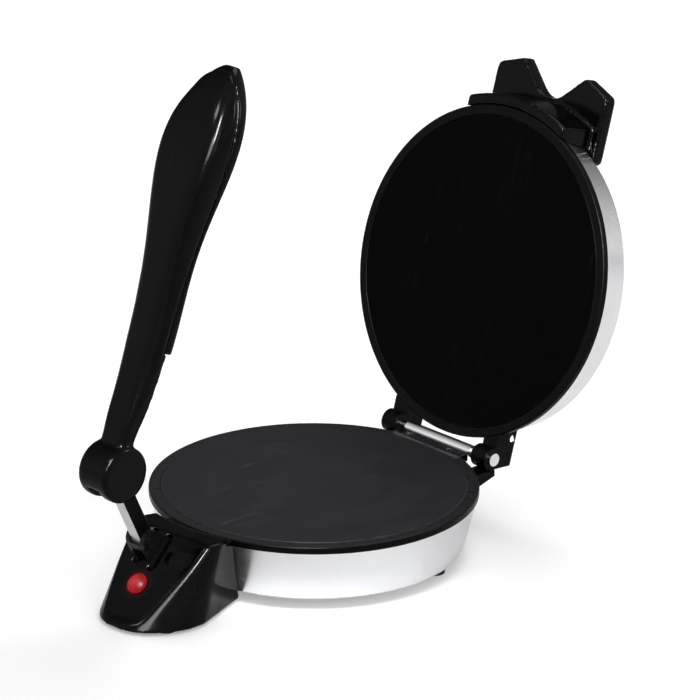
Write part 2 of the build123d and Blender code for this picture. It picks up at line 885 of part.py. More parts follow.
def hub_slot():
    """Space that the link needs inside the hub over the lever's whole swing."""
    half = link_depth / 2 + side_gap
    reach = hub_radius + 5
    start = 180 - link_lean - lever_lean - lever_swing_forward
    end = 180 - link_lean - lever_lean + lever_swing_back

    def place(angle, along, aside):
        turn = radians(angle)
        return lever_point(along * cos(turn) + aside * sin(turn), along * sin(turn) - aside * cos(turn))

    middle = (start + end) / 2
    slot = profile_x([
        place(start, 0, half),
        place(start, reach, half),
        place(middle, 1.6 * reach, 0),
        place(end, reach, -half),
        place(end, 0, -half),
    ], -link_width / 2 - side_gap, link_width / 2 + side_gap)
    side = link_width / 2 + side_gap
    return slot + rod(half, (-side, lever_pin_y, lever_pin_z), (side, lever_pin_y, lever_pin_z))


def make_lever_handle():
    half = hub_width / 2
    hub = rod(hub_radius, (-half, lever_pin_y, lever_pin_z), (half, lever_pin_y, lever_pin_z))
    hub = fillet(hub.edges().filter_by(GeomType.CIRCLE), hub_edge_round)
    hollow = lever_blank(lever_wall)
    hollow &= lever_slab(grip_place, shoulder_place, -2 * hub_radius, grip_cover_seat)
    for place in grip_screw_places:
        hollow -= grip_screw_axis(place, grip_boss_radius, -40, 20)
    handle = lever_blank(0) - cover_space() - hollow
    handle -= lever_slab(0, grip_cover_start, neck_face, 2 * hub_radius)
    handle += hub
    handle -= hub_slot()
    handle -= rod(pin_radius + running_fit, (-half, lever_pin_y, lever_pin_z),
                  (half - hub_side_wall, lever_pin_y, lever_pin_z))
    for place in grip_screw_places:
        handle -= grip_screw_axis(place, small_screw_radius + thread_fit, grip_cover_seat - 8, 20)
    return handle


def make_grip_cover():
    cover = lever_blank(0) & cover_space()
    for place in grip_screw_places:
        cover -= grip_screw_axis(place, small_hole_radius, 0, 20)
        seat = grip_cover_seat + grip_screw_seat
        cover -= grip_screw_axis(place, small_head_radius + screw_clearance, seat, 20)
    return cover


def make_grip_screws():
    seat = grip_cover_seat + grip_screw_seat
    screws = []
    for place in grip_screw_places:
        head = grip_screw_axis(place, small_head_radius, seat, seat + small_head_height)
        screws.append(head + grip_screw_axis(place, small_screw_radius, grip_cover_seat - 7, seat + 1))
    return screws


def make_lever_pin():
    half = hub_width / 2
    return rod(pin_radius, (-half + 0.3, lever_pin_y, lever_pin_z),
               (half - hub_side_wall - 0.3, lever_pin_y, lever_pin_z))


# Lid hinge

def make_hinge_leaf():
    leaf = block(-leaf_half_width, leaf_half_width, leaf_front_y, hinge_y, rim_top, rim_top + leaf_thickness)
    leaf += rod(hinge_barrel_radius, (-leaf_half_width, hinge_y, hinge_z), (leaf_half_width, hinge_y, hinge_z))
    leaf -= rod(hinge_rod_radius + running_fit, (-leaf_half_width, hinge_y, hinge_z),
                (leaf_half_width, hinge_y, hinge_z))
    for x in (-leaf_screw_x, leaf_screw_x):
        leaf -= column(small_hole_radius, x, leaf_screw_y, rim_top, rim_top + leaf_thickness)
        leaf -= leaf_countersink(x, screw_clearance)
    return leaf


def leaf_countersink(x, gap):
    cone = Cone(small_screw_radius + gap, small_head_radius + gap, leaf_thickness, align=bottom_centre)
    return Pos(x, leaf_screw_y, rim_top) * cone


def make_leaf_screws():
    screws = []
    for x in (-leaf_screw_x, leaf_screw_x):
        screws.append(leaf_countersink(x, 0) + column(small_screw_radius, x, leaf_screw_y, skirt_top + 1, rim_top))
    return screws


def make_hinge_rod():
    reach = arm_inner_x + arm_width + stop_gap
    shaft = rod(hinge_rod_radius, (-reach - 0.5, hinge_y, hinge_z), (reach + 0.5, hinge_y, hinge_z))
    for side in (-1, 1):
        shaft += rod(rod_head_radius, (side * reach, hinge_y, hinge_z),
                     (side * (reach + rod_head_height), hinge_y, hinge_z))
    return shaft


def make_lid_arm(side):
    """Hinge arm on the closed lid's rear wall."""
    low_x, high_x = sorted((side * arm_inner_x, side * (arm_inner_x + arm_width)))
    top = lid_front + arm_top_above_front
    arm = profile_x([
        (arm_front_y, lid_front),
        (hinge_y - arm_boss_radius, lid_front),
        (hinge_y - arm_boss_radius, hinge_z),
        (hinge_y + arm_boss_radius, hinge_z),
        (hinge_y + arm_boss_radius / 2, top),
        (arm_front_y, top),
    ], low_x, high_x)
    arm += rod(arm_boss_radius, (low_x, hinge_y, hinge_z), (high_x, hinge_y, hinge_z))
    arm -= lid_form(0)
    arm -= rod(hinge_rod_radius + running_fit, (low_x, hinge_y, hinge_z), (high_x, hinge_y, hinge_z))
    for plane in arm_screw_planes(side):
        arm -= on_plane(plane, screw_radius + thread_fit, -1, 9)
    return arm


def arm_screw_planes(side):
    z = lid_front + arm_screw_height
    planes = []
    for x in (arm_middle_x - arm_screw_spread, arm_middle_x + arm_screw_spread):
        y = sqrt(cover_radius(z) ** 2 - x ** 2)
        planes.append(cover_plane(degrees(atan2(y, side * x)), z))
    return planes


def make_arm_screws():
    screws = []
    for plane in arm_screw_planes(-1) + arm_screw_planes(1):
        seat = plane.offset(-lid_cover_wall - seat_gap)
        screws.append(screw_at(seat, screw_radius, screw_head_radius, screw_head_height, 8))
    return screws


def make_hinge_stop(side):
    """Block behind the skirt on which the open lid's arm rests."""
    low_x, high_x = sorted((side * arm_inner_x, side * (arm_inner_x + arm_width)))
    rest = lid_pose(profile_x([
        (hinge_y + arm_boss_radius + stop_gap, hinge_z - 40),
        (hinge_y + arm_boss_radius + stop_gap, hinge_z),
        (hinge_y + arm_boss_radius / 2 + stop_gap, lid_front + arm_top_above_front),
        (hinge_y + arm_boss_radius / 2 + stop_gap, lid_front + 3 * arm_top_above_front),
        (hinge_y + 90, lid_front + 3 * arm_top_above_front),
        (hinge_y + 90, hinge_z - 40),
    ], low_x, high_x))
    stop = profile_x([
        (arm_front_y, stop_low),
        (arm_front_y + 14, stop_low),
        (stop_back_y, stop_low + 4),
        (stop_back_y, hinge_z - arm_boss_radius - stop_gap),
        (arm_front_y, hinge_z - arm_boss_radius - stop_gap),
    ], low_x, high_x)
    behind = block(low_x, high_x, hinge_y, stop_back_y, 0, hinge_z)
    stop = (stop - behind) + (stop & behind & rest)
    stop -= skirt_form(0)
    plane = stop_planes[0] if side > 0 else stop_planes[1]
    return stop - on_plane(plane, screw_radius + thread_fit, -1, 11)


def make_stop_screws():
    screws = []
    for plane in stop_planes:
        seat = plane.offset(-skirt_wall - seat_gap)
        screws.append(screw_at(seat, screw_radius, screw_head_radius, screw_head_height, 10))
    return screws


# Lid shell, described closed

def make_lid_rim():
    inside = lid_plate_radius + skirt_fit
    ledge_top = lid_plate_back + rim_ledge_thickness
    collar = cover_radius(ledge_top) - lid_cover_wall - skirt_fit
    rim = turned([
        (lid_rim_radius, lid_front),
        (lid_rim_radius, lid_rim_top),
        (collar, lid_rim_top),
        (collar, ledge_top),
        (inside - rim_ledge, ledge_top),
        (inside - rim_ledge, lid_plate_back),
        (inside, lid_plate_back),
        (inside, lid_front),
    ])
    edges = rim.edges().filter_by(GeomType.CIRCLE).sort_by(SortBy.RADIUS)[-2:]
    return fillet(edges, rim_edge_round)


def make_lid_cover():
    outer = turned([
        (0, lid_rim_top),
        (lid_cover_radius_low, lid_rim_top),
        (lid_cover_radius_high, lid_top),
        (0, lid_top),
    ])
    outer = fillet(outer.edges().sort_by(Axis.Z)[-1], lid_cover_round)
    inner = turned([
        (0, lid_rim_top),
        (lid_cover_radius_low - lid_cover_wall, lid_rim_top),
        (cover_radius(lid_top - lid_cover_wall) - lid_cover_wall, lid_top - lid_cover_wall),
        (0, lid_top - lid_cover_wall),
    ])
    inner = fillet(inner.edges().sort_by(Axis.Z)[-1], lid_cover_round - lid_cover_wall)
    cover = outer - inner
    for x, y in boss_places:
        cover -= column(hole_radius, x, y, lid_top - 5, lid_top + 1)
    for x in (-saddle_screw_x, saddle_screw_x):
        cover -= column(hole_radius, x, -saddle_screw_y, lid_top - 5, lid_top + 1)
    for plane in arm_screw_planes(-1) + arm_screw_planes(1):
        cover -= on_plane(plane, hole_radius, -5, 5)
    return cover


def make_lid_tie_screws():
    screws = []
    for x, y in boss_places:
        seat = Plane(origin=(x, y, lid_top), z_dir=(0, 0, -1))
        length = lid_top - lid_plate_back - 3
        screws.append(screw_at(seat, screw_radius, screw_head_radius, screw_head_height, length))
    return screws


def make_saddle():
    plan = Polyline(
        (0, -notch_point),
        (saddle_tip_x, -saddle_tip),
        (saddle_half_width, -saddle_corner),
        (saddle_half_width, -saddle_inner),
        (-saddle_half_width, -saddle_inner),
        (-saddle_half_width, -saddle_corner),
        (-saddle_tip_x, -saddle_tip),
        close=True,
    )
    face = make_face(plan)
    notch = face.vertices().filter_by(lambda v: abs(v.X) < 1)
    tips = face.vertices().filter_by(lambda v: abs(abs(v.X) - saddle_tip_x) < 1)
    corners = face.vertices().filter_by(lambda v: abs(v.X) > saddle_half_width - 1)
    face = fillet(notch, notch_round)
    face = fillet(face.vertices().filter_by(lambda v: near_any(v, tips)), saddle_tip_round)
    face = fillet(face.vertices().filter_by(lambda v: near_any(v, corners)), saddle_corner_round)
    saddle = extrude(Pos(0, 0, lid_top) * face, saddle_thickness, dir=(0, 0, 1))
    saddle = fillet(saddle.faces().sort_by(Axis.Z)[-1].edges(), saddle_edge_round)
    lip = column(lip_radius, 0, 0, lid_front, lid_top)
    lip &= block(-lip_half_width, lip_half_width, -lip_radius - 1, -saddle_inner, lid_front, lid_top)
    saddle += lip - lid_form(lip_fit)
    for x in (-saddle_screw_x, saddle_screw_x):
        saddle -= column(screw_radius + thread_fit, x, -saddle_screw_y, lid_top, lid_top + 9)
    return saddle


def near_any(vertex, places):
    return any((vertex.center() - place.center()).length < 0.01 for place in places)


def make_saddle_screws():
    screws = []
    for x in (-saddle_screw_x, saddle_screw_x):
        seat = Plane((x, -saddle_screw_y, lid_top - lid_cover_wall))
        screws.append(screw_at(seat, screw_radius, screw_head_radius, screw_head_height, 9))
    return screws


bottom_centre = (Align.CENTER, Align.CENTER, Align.MIN)
top_centre = (Align.CENTER, Align.CENTER, Align.MAX)

base_parts = {
    "base_skirt": make_skirt(),
    "base_rim": make_rim(),
    "bottom_pan": make_pan(),
    "rubber_feet": make_feet(),
    "foot_screws": make_foot_screws(),
    "foot_nuts": make_nuts(foot_places),
    "lower_plate": make_plate(plate_radius, True),
    "lower_heating_element": make_element(),
    "lower_clamp_plate": make_clamp(),
    "lower_insulation": make_insulation(),
    "lower_heat_shield": make_shield(),
    "lower_sleeves": make_sleeves(pan_top, shield_bottom),
    "lower_tie_screws": make_base_tie_screws(),
    "lower_thermal_fuse": make_fuse(),
    "thermostat": make_thermostat(),
    "thermostat_screws": make_thermostat_screws(),
    "control_housing": make_housing(),
    "housing_floor": turned_out(make_housing_floor()),
    "housing_floor_screws": [turned_out(screw) for screw in make_floor_screws()],
    "housing_screws": make_housing_screws(),
    "nose_pads": [turned_out(pad) for pad in make_nose_pads()],
    "lamp_lens": turned_out(make_lens()),
    "lamp_neon": turned_out(make_neon()),
    "terminal_block": turned_out(make_terminal_block()),
    "cord_gland": turned_out(make_gland()),
    "pivot_bracket": make_pivot_bracket(),
    "bracket_screws": make_bracket_screws(),
    "bracket_nuts": make_nuts([(-tongue_screw_x, -tongue_screw_y), (tongue_screw_x, -tongue_screw_y)]),
    "link_pin": make_link_pin(),
    "hinge_leaf": make_hinge_leaf(),
    "hinge_leaf_screws": make_leaf_screws(),
    "hinge_rod": make_hinge_rod(),
    "hinge_stop_left": make_hinge_stop(-1),
    "hinge_stop_right": make_hinge_stop(1),
    "hinge_stop_screws": make_stop_screws(),
}

lid_parts = {
    "lid_rim": make_lid_rim(),
    "lid_cover": make_lid_cover(),
    "lid_plate": flipped(make_plate(lid_plate_radius, False)),
    "lid_heating_element": flipped(make_element()),
    "lid_clamp_plate": flipped(make_clamp()),
    "lid_insulation": flipped(make_insulation()),
    "lid_heat_shield": flipped(make_shield()),
    "lid_thermal_fuse": flipped(make_fuse()),
    "lid_sleeves": make_sleeves(lid_shield_back, lid_top - lid_cover_wall),
    "lid_tie_screws": make_lid_tie_screws(),
    "lid_arm_left": make_lid_arm(-1),
    "lid_arm_right": make_lid_arm(1),
    "lid_arm_screws": make_arm_screws(),
    "press_saddle": make_saddle(),
    "saddle_screws": make_saddle_screws(),
}

lever_parts = {
    "link": make_link(),
    "lever_handle": make_lever_handle(),
    "lever_grip_cover": make_grip_cover(),
    "grip_screws": make_grip_screws(),
    "lever_pin": make_lever_pin(),
}

os.makedirs("parts", exist_ok=True)
for name, shape in (base_parts | lever_parts).items():
    whole = Compound(shape) if isinstance(shape, list) else shape
    export_step(whole, f"parts/{name}.step")
for name, shape in lid_parts.items():
    whole = Compound(shape) if isinstance(shape, list) else shape
    export_step(lid_pose(whole), f"parts/{name}.step")
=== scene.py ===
import json
import math

import bpy
from mathutils import Matrix, Vector

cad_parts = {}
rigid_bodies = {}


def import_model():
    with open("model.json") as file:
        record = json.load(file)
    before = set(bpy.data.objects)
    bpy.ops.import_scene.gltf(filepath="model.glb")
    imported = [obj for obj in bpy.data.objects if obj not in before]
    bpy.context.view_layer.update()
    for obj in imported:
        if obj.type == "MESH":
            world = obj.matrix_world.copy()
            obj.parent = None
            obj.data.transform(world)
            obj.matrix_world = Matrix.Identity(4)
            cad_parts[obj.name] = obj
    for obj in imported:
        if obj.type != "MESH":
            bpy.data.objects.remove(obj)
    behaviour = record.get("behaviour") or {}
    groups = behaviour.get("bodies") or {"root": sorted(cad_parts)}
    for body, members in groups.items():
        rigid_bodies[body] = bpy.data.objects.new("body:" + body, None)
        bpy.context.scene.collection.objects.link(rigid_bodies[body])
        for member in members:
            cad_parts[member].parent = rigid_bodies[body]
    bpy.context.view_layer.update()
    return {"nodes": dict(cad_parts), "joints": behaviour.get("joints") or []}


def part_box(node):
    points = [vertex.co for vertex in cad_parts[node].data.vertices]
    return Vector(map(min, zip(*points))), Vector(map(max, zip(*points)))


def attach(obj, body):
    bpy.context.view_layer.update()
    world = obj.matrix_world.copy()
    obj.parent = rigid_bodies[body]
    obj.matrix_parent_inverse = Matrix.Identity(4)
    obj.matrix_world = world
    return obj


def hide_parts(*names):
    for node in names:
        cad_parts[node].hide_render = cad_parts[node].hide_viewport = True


# Electric roti maker: finishes, moulded edges, screw recesses, stage, lamps and camera around the frame.
# Metres, X to the right, Y towards the lid hinge, Z up.

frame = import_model()
nodes = frame["nodes"]
joints = {joint["name"]: joint for joint in frame["joints"]}
print("frame loaded,", len(nodes), "nodes")

hingePoint = Vector(joints["lid_hinge"]["pos_m"])
lidTurn = math.radians(joints["lid_hinge"]["range_deg"][1])  # from open, as at rest, to closed
leverPoint = joints["lever_pivot"]["pos_m"]
leverLean = math.radians(21.0)  # the lever at rest leans this far towards the lid


# Small helpers for node trees

def addNode(tree, kind, place=(0, 0), **settings):
    node = tree.nodes.new(kind)
    node.location = place
    for name, value in settings.items():
        setattr(node, name, value)
    return node


def setInput(node, socket, value):
    node.inputs[socket].default_value = value


def join(tree, source, target):
    tree.links.new(source, target)


def newGroup(name, inputs, outputs):
    tree = bpy.data.node_groups.new(name, "ShaderNodeTree")
    tree.interface.new_socket("Vector", in_out="INPUT", socket_type="NodeSocketVector")
    for label, value in inputs.items():
        socket = tree.interface.new_socket(label, in_out="INPUT", socket_type="NodeSocketFloat")
        socket.default_value = value
    for label in outputs:
        tree.interface.new_socket(label, in_out="OUTPUT", socket_type="NodeSocketFloat")
    source = addNode(tree, "NodeGroupInput", (-900, 0))
    sink = addNode(tree, "NodeGroupOutput", (900, 0))
    return tree, source, sink


def rangeNode(tree, value, low, high, outLow, outHigh, place=(0, 0)):
    node = addNode(tree, "ShaderNodeMapRange", place)
    for socket, number in (("From Min", low), ("From Max", high), ("To Min", outLow), ("To Max", outHigh)):
        setInput(node, socket, number)
    join(tree, value, node.inputs["Value"])
    return node.outputs["Result"]


def mathNode(tree, operation, first, second, place=(0, 0)):
    node = addNode(tree, "ShaderNodeMath", place, operation=operation)
    for index, value in enumerate((first, second)):
        if isinstance(value, (int, float)):
            node.inputs[index].default_value = value
        elif value is not None:
            join(tree, value, node.inputs[index])
    return node.outputs[0]


# Shared effects, each a group that gives out masks and heights only

def mottleGroup():
    # soft blotches about a middle value of a half
    tree, source, sink = newGroup("softMottle", {"Scale": 40.0, "Contrast": 1.0}, ["Mask"])
    noise = addNode(tree, "ShaderNodeTexNoise", (-600, 0))
    setInput(noise, "Detail", 4.0)
    setInput(noise, "Roughness", 0.55)
    join(tree, source.outputs["Vector"], noise.inputs["Vector"])
    join(tree, source.outputs["Scale"], noise.inputs["Scale"])
    centred = mathNode(tree, "SUBTRACT", noise.outputs["Fac"], 0.5, (-350, 0))
    grown = mathNode(tree, "MULTIPLY", centred, source.outputs["Contrast"], (-150, 0))
    back = mathNode(tree, "ADD", grown, 0.5, (50, 0))
    mask = addNode(tree, "ShaderNodeClamp", (250, 0))
    join(tree, back, mask.inputs["Value"])
    join(tree, mask.outputs[0], sink.inputs["Mask"])
    return tree


scratchLook = {
    "turns": (0.4, 1.3, 2.2), "stretch": (1.0, 0.06, 0.5), "middle": 0.5, "middleStep": 0.03,
    "breakScale": 35.0, "breaks": (0.5, 0.62),
}


def scratchGroup():
    # thin hair lines in three directions, where a stretched noise passes its middle value
    tree, source, sink = newGroup("hairScratches", {"Scale": 60.0, "Width": 0.012}, ["Mask"])
    masks = []
    for index, turn in enumerate(scratchLook["turns"]):
        mapping = addNode(tree, "ShaderNodeMapping", (-700, -260 * index))
        setInput(mapping, "Rotation", (turn, 0.7 * turn, turn))
        setInput(mapping, "Scale", scratchLook["stretch"])
        join(tree, source.outputs["Vector"], mapping.inputs["Vector"])
        noise = addNode(tree, "ShaderNodeTexNoise", (-500, -260 * index))
        setInput(noise, "Detail", 1.0)
        join(tree, mapping.outputs[0], noise.inputs["Vector"])
        join(tree, source.outputs["Scale"], noise.inputs["Scale"])
        middle = scratchLook["middle"] + scratchLook["middleStep"] * index
        away = mathNode(tree, "SUBTRACT", noise.outputs["Fac"], middle, (-300, -260 * index))
        size = mathNode(tree, "ABSOLUTE", away, None, (-150, -260 * index))
        share = mathNode(tree, "DIVIDE", size, source.outputs["Width"], (0, -260 * index))
        thin = mathNode(tree, "SUBTRACT", 1.0, share, (150, -260 * index))
        clamp = addNode(tree, "ShaderNodeClamp", (300, -260 * index))
        join(tree, thin, clamp.inputs["Value"])
        masks.append(clamp.outputs[0])
    breaks = addNode(tree, "ShaderNodeTexNoise", (-500, 260))
    join(tree, source.outputs["Vector"], breaks.inputs["Vector"])
    setInput(breaks, "Scale", scratchLook["breakScale"])
    gaps = rangeNode(tree, breaks.outputs["Fac"], *scratchLook["breaks"], 0.0, 1.0, (-300, 260))
    both = mathNode(tree, "MAXIMUM", masks[0], masks[1], (450, -100))
    every = mathNode(tree, "MAXIMUM", both, masks[2], (560, -100))
    broken = mathNode(tree, "MULTIPLY", every, gaps, (700, 0))
    join(tree, broken, sink.inputs["Mask"])
    return tree


def spunGroup():
    # rings left by spinning or polishing about the Z axis of the given coordinates
    tree, source, sink = newGroup("spunRings", {"Pitch": 1500.0, "Waviness": 6.0}, ["Height", "Bands"])
    split = addNode(tree, "ShaderNodeSeparateXYZ", (-700, 0))
    join(tree, source.outputs["Vector"], split.inputs[0])
    flat = addNode(tree, "ShaderNodeCombineXYZ", (-540, 120))
    join(tree, split.outputs["X"], flat.inputs["X"])
    join(tree, split.outputs["Y"], flat.inputs["Y"])
    radius = addNode(tree, "ShaderNodeVectorMath", (-380, 120), operation="LENGTH")
    join(tree, flat.outputs[0], radius.inputs[0])
    slide = mathNode(tree, "ADD", radius.outputs["Value"], split.outputs["Z"], (-220, 60))
    spread = mathNode(tree, "MULTIPLY", slide, source.outputs["Pitch"], (-60, 60))
    around = addNode(tree, "ShaderNodeVectorMath", (-380, -120), operation="SCALE")
    join(tree, source.outputs["Vector"], around.inputs[0])
    join(tree, source.outputs["Waviness"], around.inputs["Scale"])
    aroundParts = addNode(tree, "ShaderNodeSeparateXYZ", (-220, -120))
    join(tree, around.outputs[0], aroundParts.inputs[0])
    place = addNode(tree, "ShaderNodeCombineXYZ", (100, 0))
    join(tree, spread, place.inputs["X"])
    join(tree, aroundParts.outputs["X"], place.inputs["Y"])
    join(tree, aroundParts.outputs["Y"], place.inputs["Z"])
    fine = addNode(tree, "ShaderNodeTexNoise", (280, 120))
    setInput(fine, "Scale", 1.0)
    setInput(fine, "Detail", 3.0)
    join(tree, place.outputs[0], fine.inputs["Vector"])
    broad = addNode(tree, "ShaderNodeTexNoise", (280, -140))
    setInput(broad, "Scale", 0.12)
    setInput(broad, "Detail", 2.0)
    join(tree, place.outputs[0], broad.inputs["Vector"])
    join(tree, fine.outputs["Fac"], sink.inputs["Height"])
    join(tree, broad.outputs["Fac"], sink.inputs["Bands"])
    return tree


edgeLook = {"samples": 4, "sharpness": (0.985, 0.86), "patches": (0.42, 0.62)}


def edgeGroup():
    # 1 along outer edges, broken up so that wear isn't even
    tree, source, sink = newGroup("edgeWear", {"Radius": 0.0012, "Breakup": 180.0}, ["Mask"])
    bevel = addNode(tree, "ShaderNodeBevel", (-600, 100), samples=edgeLook["samples"])
    join(tree, source.outputs["Radius"], bevel.inputs["Radius"])
    geometry = addNode(tree, "ShaderNodeNewGeometry", (-600, -100))
    dot = addNode(tree, "ShaderNodeVectorMath", (-400, 0), operation="DOT_PRODUCT")
    join(tree, bevel.outputs[0], dot.inputs[0])
    join(tree, geometry.outputs["Normal"], dot.inputs[1])
    edge = rangeNode(tree, dot.outputs["Value"], *edgeLook["sharpness"], 0.0, 1.0, (-200, 0))
    noise = addNode(tree, "ShaderNodeTexNoise", (-400, -260))
    setInput(noise, "Detail", 3.0)
    join(tree, source.outputs["Vector"], noise.inputs["Vector"])
    join(tree, source.outputs["Breakup"], noise.inputs["Scale"])
    patch = rangeNode(tree, noise.outputs["Fac"], *edgeLook["patches"], 0.0, 1.0, (-200, -260))
    mask = mathNode(tree, "MULTIPLY", edge, patch, (100, 0))
    join(tree, mask, sink.inputs["Mask"])
    return tree


dustLook = {"upward": (0.35, 0.95), "cloud": (0.45, 0.75), "speckScale": 700.0, "specks": (0.02, 0.1)}


def dustGroup():
    # thin dust that gathers on faces that look up
    tree, source, sink = newGroup("restingDust", {"Scale": 90.0}, ["Mask"])
    geometry = addNode(tree, "ShaderNodeNewGeometry", (-600, 100))
    split = addNode(tree, "ShaderNodeSeparateXYZ", (-420, 100))
    join(tree, geometry.outputs["Normal"], split.inputs[0])
    upward = rangeNode(tree, split.outputs["Z"], *dustLook["upward"], 0.0, 1.0, (-240, 100))
    noise = addNode(tree, "ShaderNodeTexNoise", (-600, -120))
    setInput(noise, "Detail", 6.0)
    setInput(noise, "Roughness", 0.7)
    join(tree, source.outputs["Vector"], noise.inputs["Vector"])
    join(tree, source.outputs["Scale"], noise.inputs["Scale"])
    cloud = rangeNode(tree, noise.outputs["Fac"], *dustLook["cloud"], 0.0, 1.0, (-400, -120))
    specks = addNode(tree, "ShaderNodeTexVoronoi", (-600, -360))
    setInput(specks, "Scale", dustLook["speckScale"])
    join(tree, source.outputs["Vector"], specks.inputs["Vector"])
    dots = rangeNode(tree, specks.outputs["Distance"], *dustLook["specks"], 1.0, 0.0, (-400, -360))
    both = mathNode(tree, "MAXIMUM", cloud, dots, (-100, -200))
    mask = mathNode(tree, "MULTIPLY", both, upward, (150, 0))
    join(tree, mask, sink.inputs["Mask"])
    return tree


poreDistance = (0.05, 0.35)


def grainGroup():
    # fine pebble of a moulded or sprayed surface, with a slow waviness under it
    tree, source, sink = newGroup(
        "mouldedGrain", {"Scale": 1500.0, "Wave": 40.0, "Waviness": 1.0}, ["Height", "Pores"],
    )
    pebble = addNode(tree, "ShaderNodeTexVoronoi", (-600, 120), feature="SMOOTH_F1")
    join(tree, source.outputs["Vector"], pebble.inputs["Vector"])
    join(tree, source.outputs["Scale"], pebble.inputs["Scale"])
    slow = addNode(tree, "ShaderNodeTexNoise", (-600, -140))
    setInput(slow, "Detail", 1.0)
    join(tree, source.outputs["Vector"], slow.inputs["Vector"])
    join(tree, source.outputs["Wave"], slow.inputs["Scale"])
    swell = mathNode(tree, "MULTIPLY", slow.outputs["Fac"], source.outputs["Waviness"], (-300, -140))
    height = mathNode(tree, "ADD", pebble.outputs["Distance"], swell, (-100, 0))
    pores = rangeNode(tree, pebble.outputs["Distance"], *poreDistance, 1.0, 0.0, (-300, 300))
    join(tree, height, sink.inputs["Height"])
    join(tree, pores, sink.inputs["Pores"])
    return tree


mottle = mottleGroup()
scratches = scratchGroup()
spunRings = spunGroup()
edgeWear = edgeGroup()
restingDust = dustGroup()
mouldedGrain = grainGroup()


# Materials

def startMaterial(name, values):
    material = bpy.data.materials.new(name)
    material.use_nodes = True
    tree = material.node_tree
    shader = tree.nodes["Principled BSDF"]
    for socket, value in values.items():
        shader.inputs[socket].default_value = value
    coords = addNode(tree, "ShaderNodeTexCoord", (-1700, 0)).outputs["Object"]
    return material, tree, shader, coords


def placeGroup(tree, group, coords, place, **values):
    node = addNode(tree, "ShaderNodeGroup", place, node_tree=group)
    join(tree, coords, node.inputs["Vector"])
    for socket, value in values.items():
        setInput(node, socket, value)
    return node.outputs


def blendColours(tree, mask, first, second, place):
    node = addNode(tree, "ShaderNodeMix", place, data_type="RGBA")
    join(tree, mask, node.inputs[0])
    for index, value in ((6, first), (7, second)):
        if isinstance(value, tuple):
            node.inputs[index].default_value = (*value, 1.0)
        else:
            join(tree, value, node.inputs[index])
    return node.outputs[2]


def scaled(tree, value, amount, place):
    return mathNode(tree, "MULTIPLY", value, amount, place)


def turnedCoords(tree, coords):
    # the open lid's coordinates turned back to the closed lid, so that its axis is Z
    turn = Matrix.Rotation(lidTurn, 3, "X")
    node = addNode(tree, "ShaderNodeMapping", (-1500, 200))
    setInput(node, "Rotation", (lidTurn, 0.0, 0.0))
    setInput(node, "Location", hingePoint - turn @ hingePoint)
    join(tree, coords, node.inputs["Vector"])
    return node.outputs[0]


def boxMiddle(name):
    low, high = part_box(name)
    return (Vector(low) + Vector(high)) / 2


def distanceFrom(tree, coords, middle, place):
    gap = addNode(tree, "ShaderNodeVectorMath", place, operation="DISTANCE")
    join(tree, coords, gap.inputs[0])
    gap.inputs[1].default_value = middle
    return gap.outputs["Value"]


effects = {
    "smudgeScale": 2.7, "smudgeContrast": 1.8,  # patches in the roughness, finer than those in the colour
    "ringBands": (0.35, 0.65), "ringRough": 0.08, "scratchRough": 0.25, "scratchDepth": -0.000006,
    "dustColour": (0.46, 0.45, 0.43), "dustRough": 0.5, "pores": 0.15, "haloFalloff": 2.2,
}


def stacked(tree, height, more, place):
    return more if height is None else mathNode(tree, "ADD", height, more, place)


def addGrain(tree, coords, look, surface):
    grain = look["grain"]
    pebble = placeGroup(
        tree, mouldedGrain, coords, (-1300, -200),
        Scale=grain["scale"], Wave=grain["wave"], Waviness=grain["waviness"],
    )
    surface["height"] = scaled(tree, pebble["Height"], grain["height"], (-900, -200))
    pores = scaled(tree, pebble["Pores"], look.get("pores", effects["pores"]), (-900, -330))
    surface["colour"] = blendColours(tree, pores, surface["colour"], look["shade"], (-650, 400))


def addRings(tree, coords, look, surface):
    rings = look["rings"]
    spun = placeGroup(
        tree, spunRings, coords, (-1300, -450), Pitch=rings["pitch"], Waviness=rings["waviness"],
    )
    ringBump = scaled(tree, spun["Height"], rings["height"], (-900, -450))
    surface["height"] = stacked(tree, surface["height"], ringBump, (-700, -400))
    bands = rangeNode(tree, spun["Bands"], *effects["ringBands"], 0.0, rings["tone"], (-900, -560))
    surface["colour"] = blendColours(tree, bands, surface["colour"], look["shade"], (-500, 400))
    ringRough = scaled(tree, spun["Height"], effects["ringRough"], (-900, -680))
    surface["rough"] = mathNode(tree, "ADD", surface["rough"], ringRough, (-650, 60))


def addScratches(tree, coords, look, surface):
    scratch = look["scratch"]
    lines = placeGroup(
        tree, scratches, coords, (-1300, -800), Scale=scratch["scale"], Width=scratch["width"],
    )
    mask = scaled(tree, lines["Mask"], scratch["amount"], (-900, -800))
    surface["colour"] = blendColours(tree, mask, surface["colour"], scratch["colour"], (-350, 400))
    more = scaled(tree, mask, effects["scratchRough"], (-700, -800))
    surface["rough"] = mathNode(tree, "ADD", surface["rough"], more, (-450, 60))
    cut = scaled(tree, lines["Mask"], effects["scratchDepth"], (-900, -920))
    surface["height"] = stacked(tree, surface["height"], cut, (-550, -400))


def addPaintedFacing(tree, coords, look, surface):
    # painted light and shade: another colour on the faces that look along an axis, either way, lighter or
    # darker as light would fall on them
    paintedFacing = look["paintedFacing"]
    normal = addNode(tree, "ShaderNodeNewGeometry", (-1500, -1700)).outputs["Normal"]
    along = addNode(tree, "ShaderNodeVectorMath", (-1300, -1700), operation="DOT_PRODUCT")
    join(tree, normal, along.inputs[0])
    setInput(along, 1, paintedFacing["axis"])
    size = mathNode(tree, "ABSOLUTE", along.outputs["Value"], None, (-1100, -1700))
    side = rangeNode(tree, size, paintedFacing["low"], paintedFacing["high"], 0.0, 1.0, (-900, -1700))
    surface["colour"] = blendColours(tree, side, surface["colour"], paintedFacing["colour"], (-280, 250))


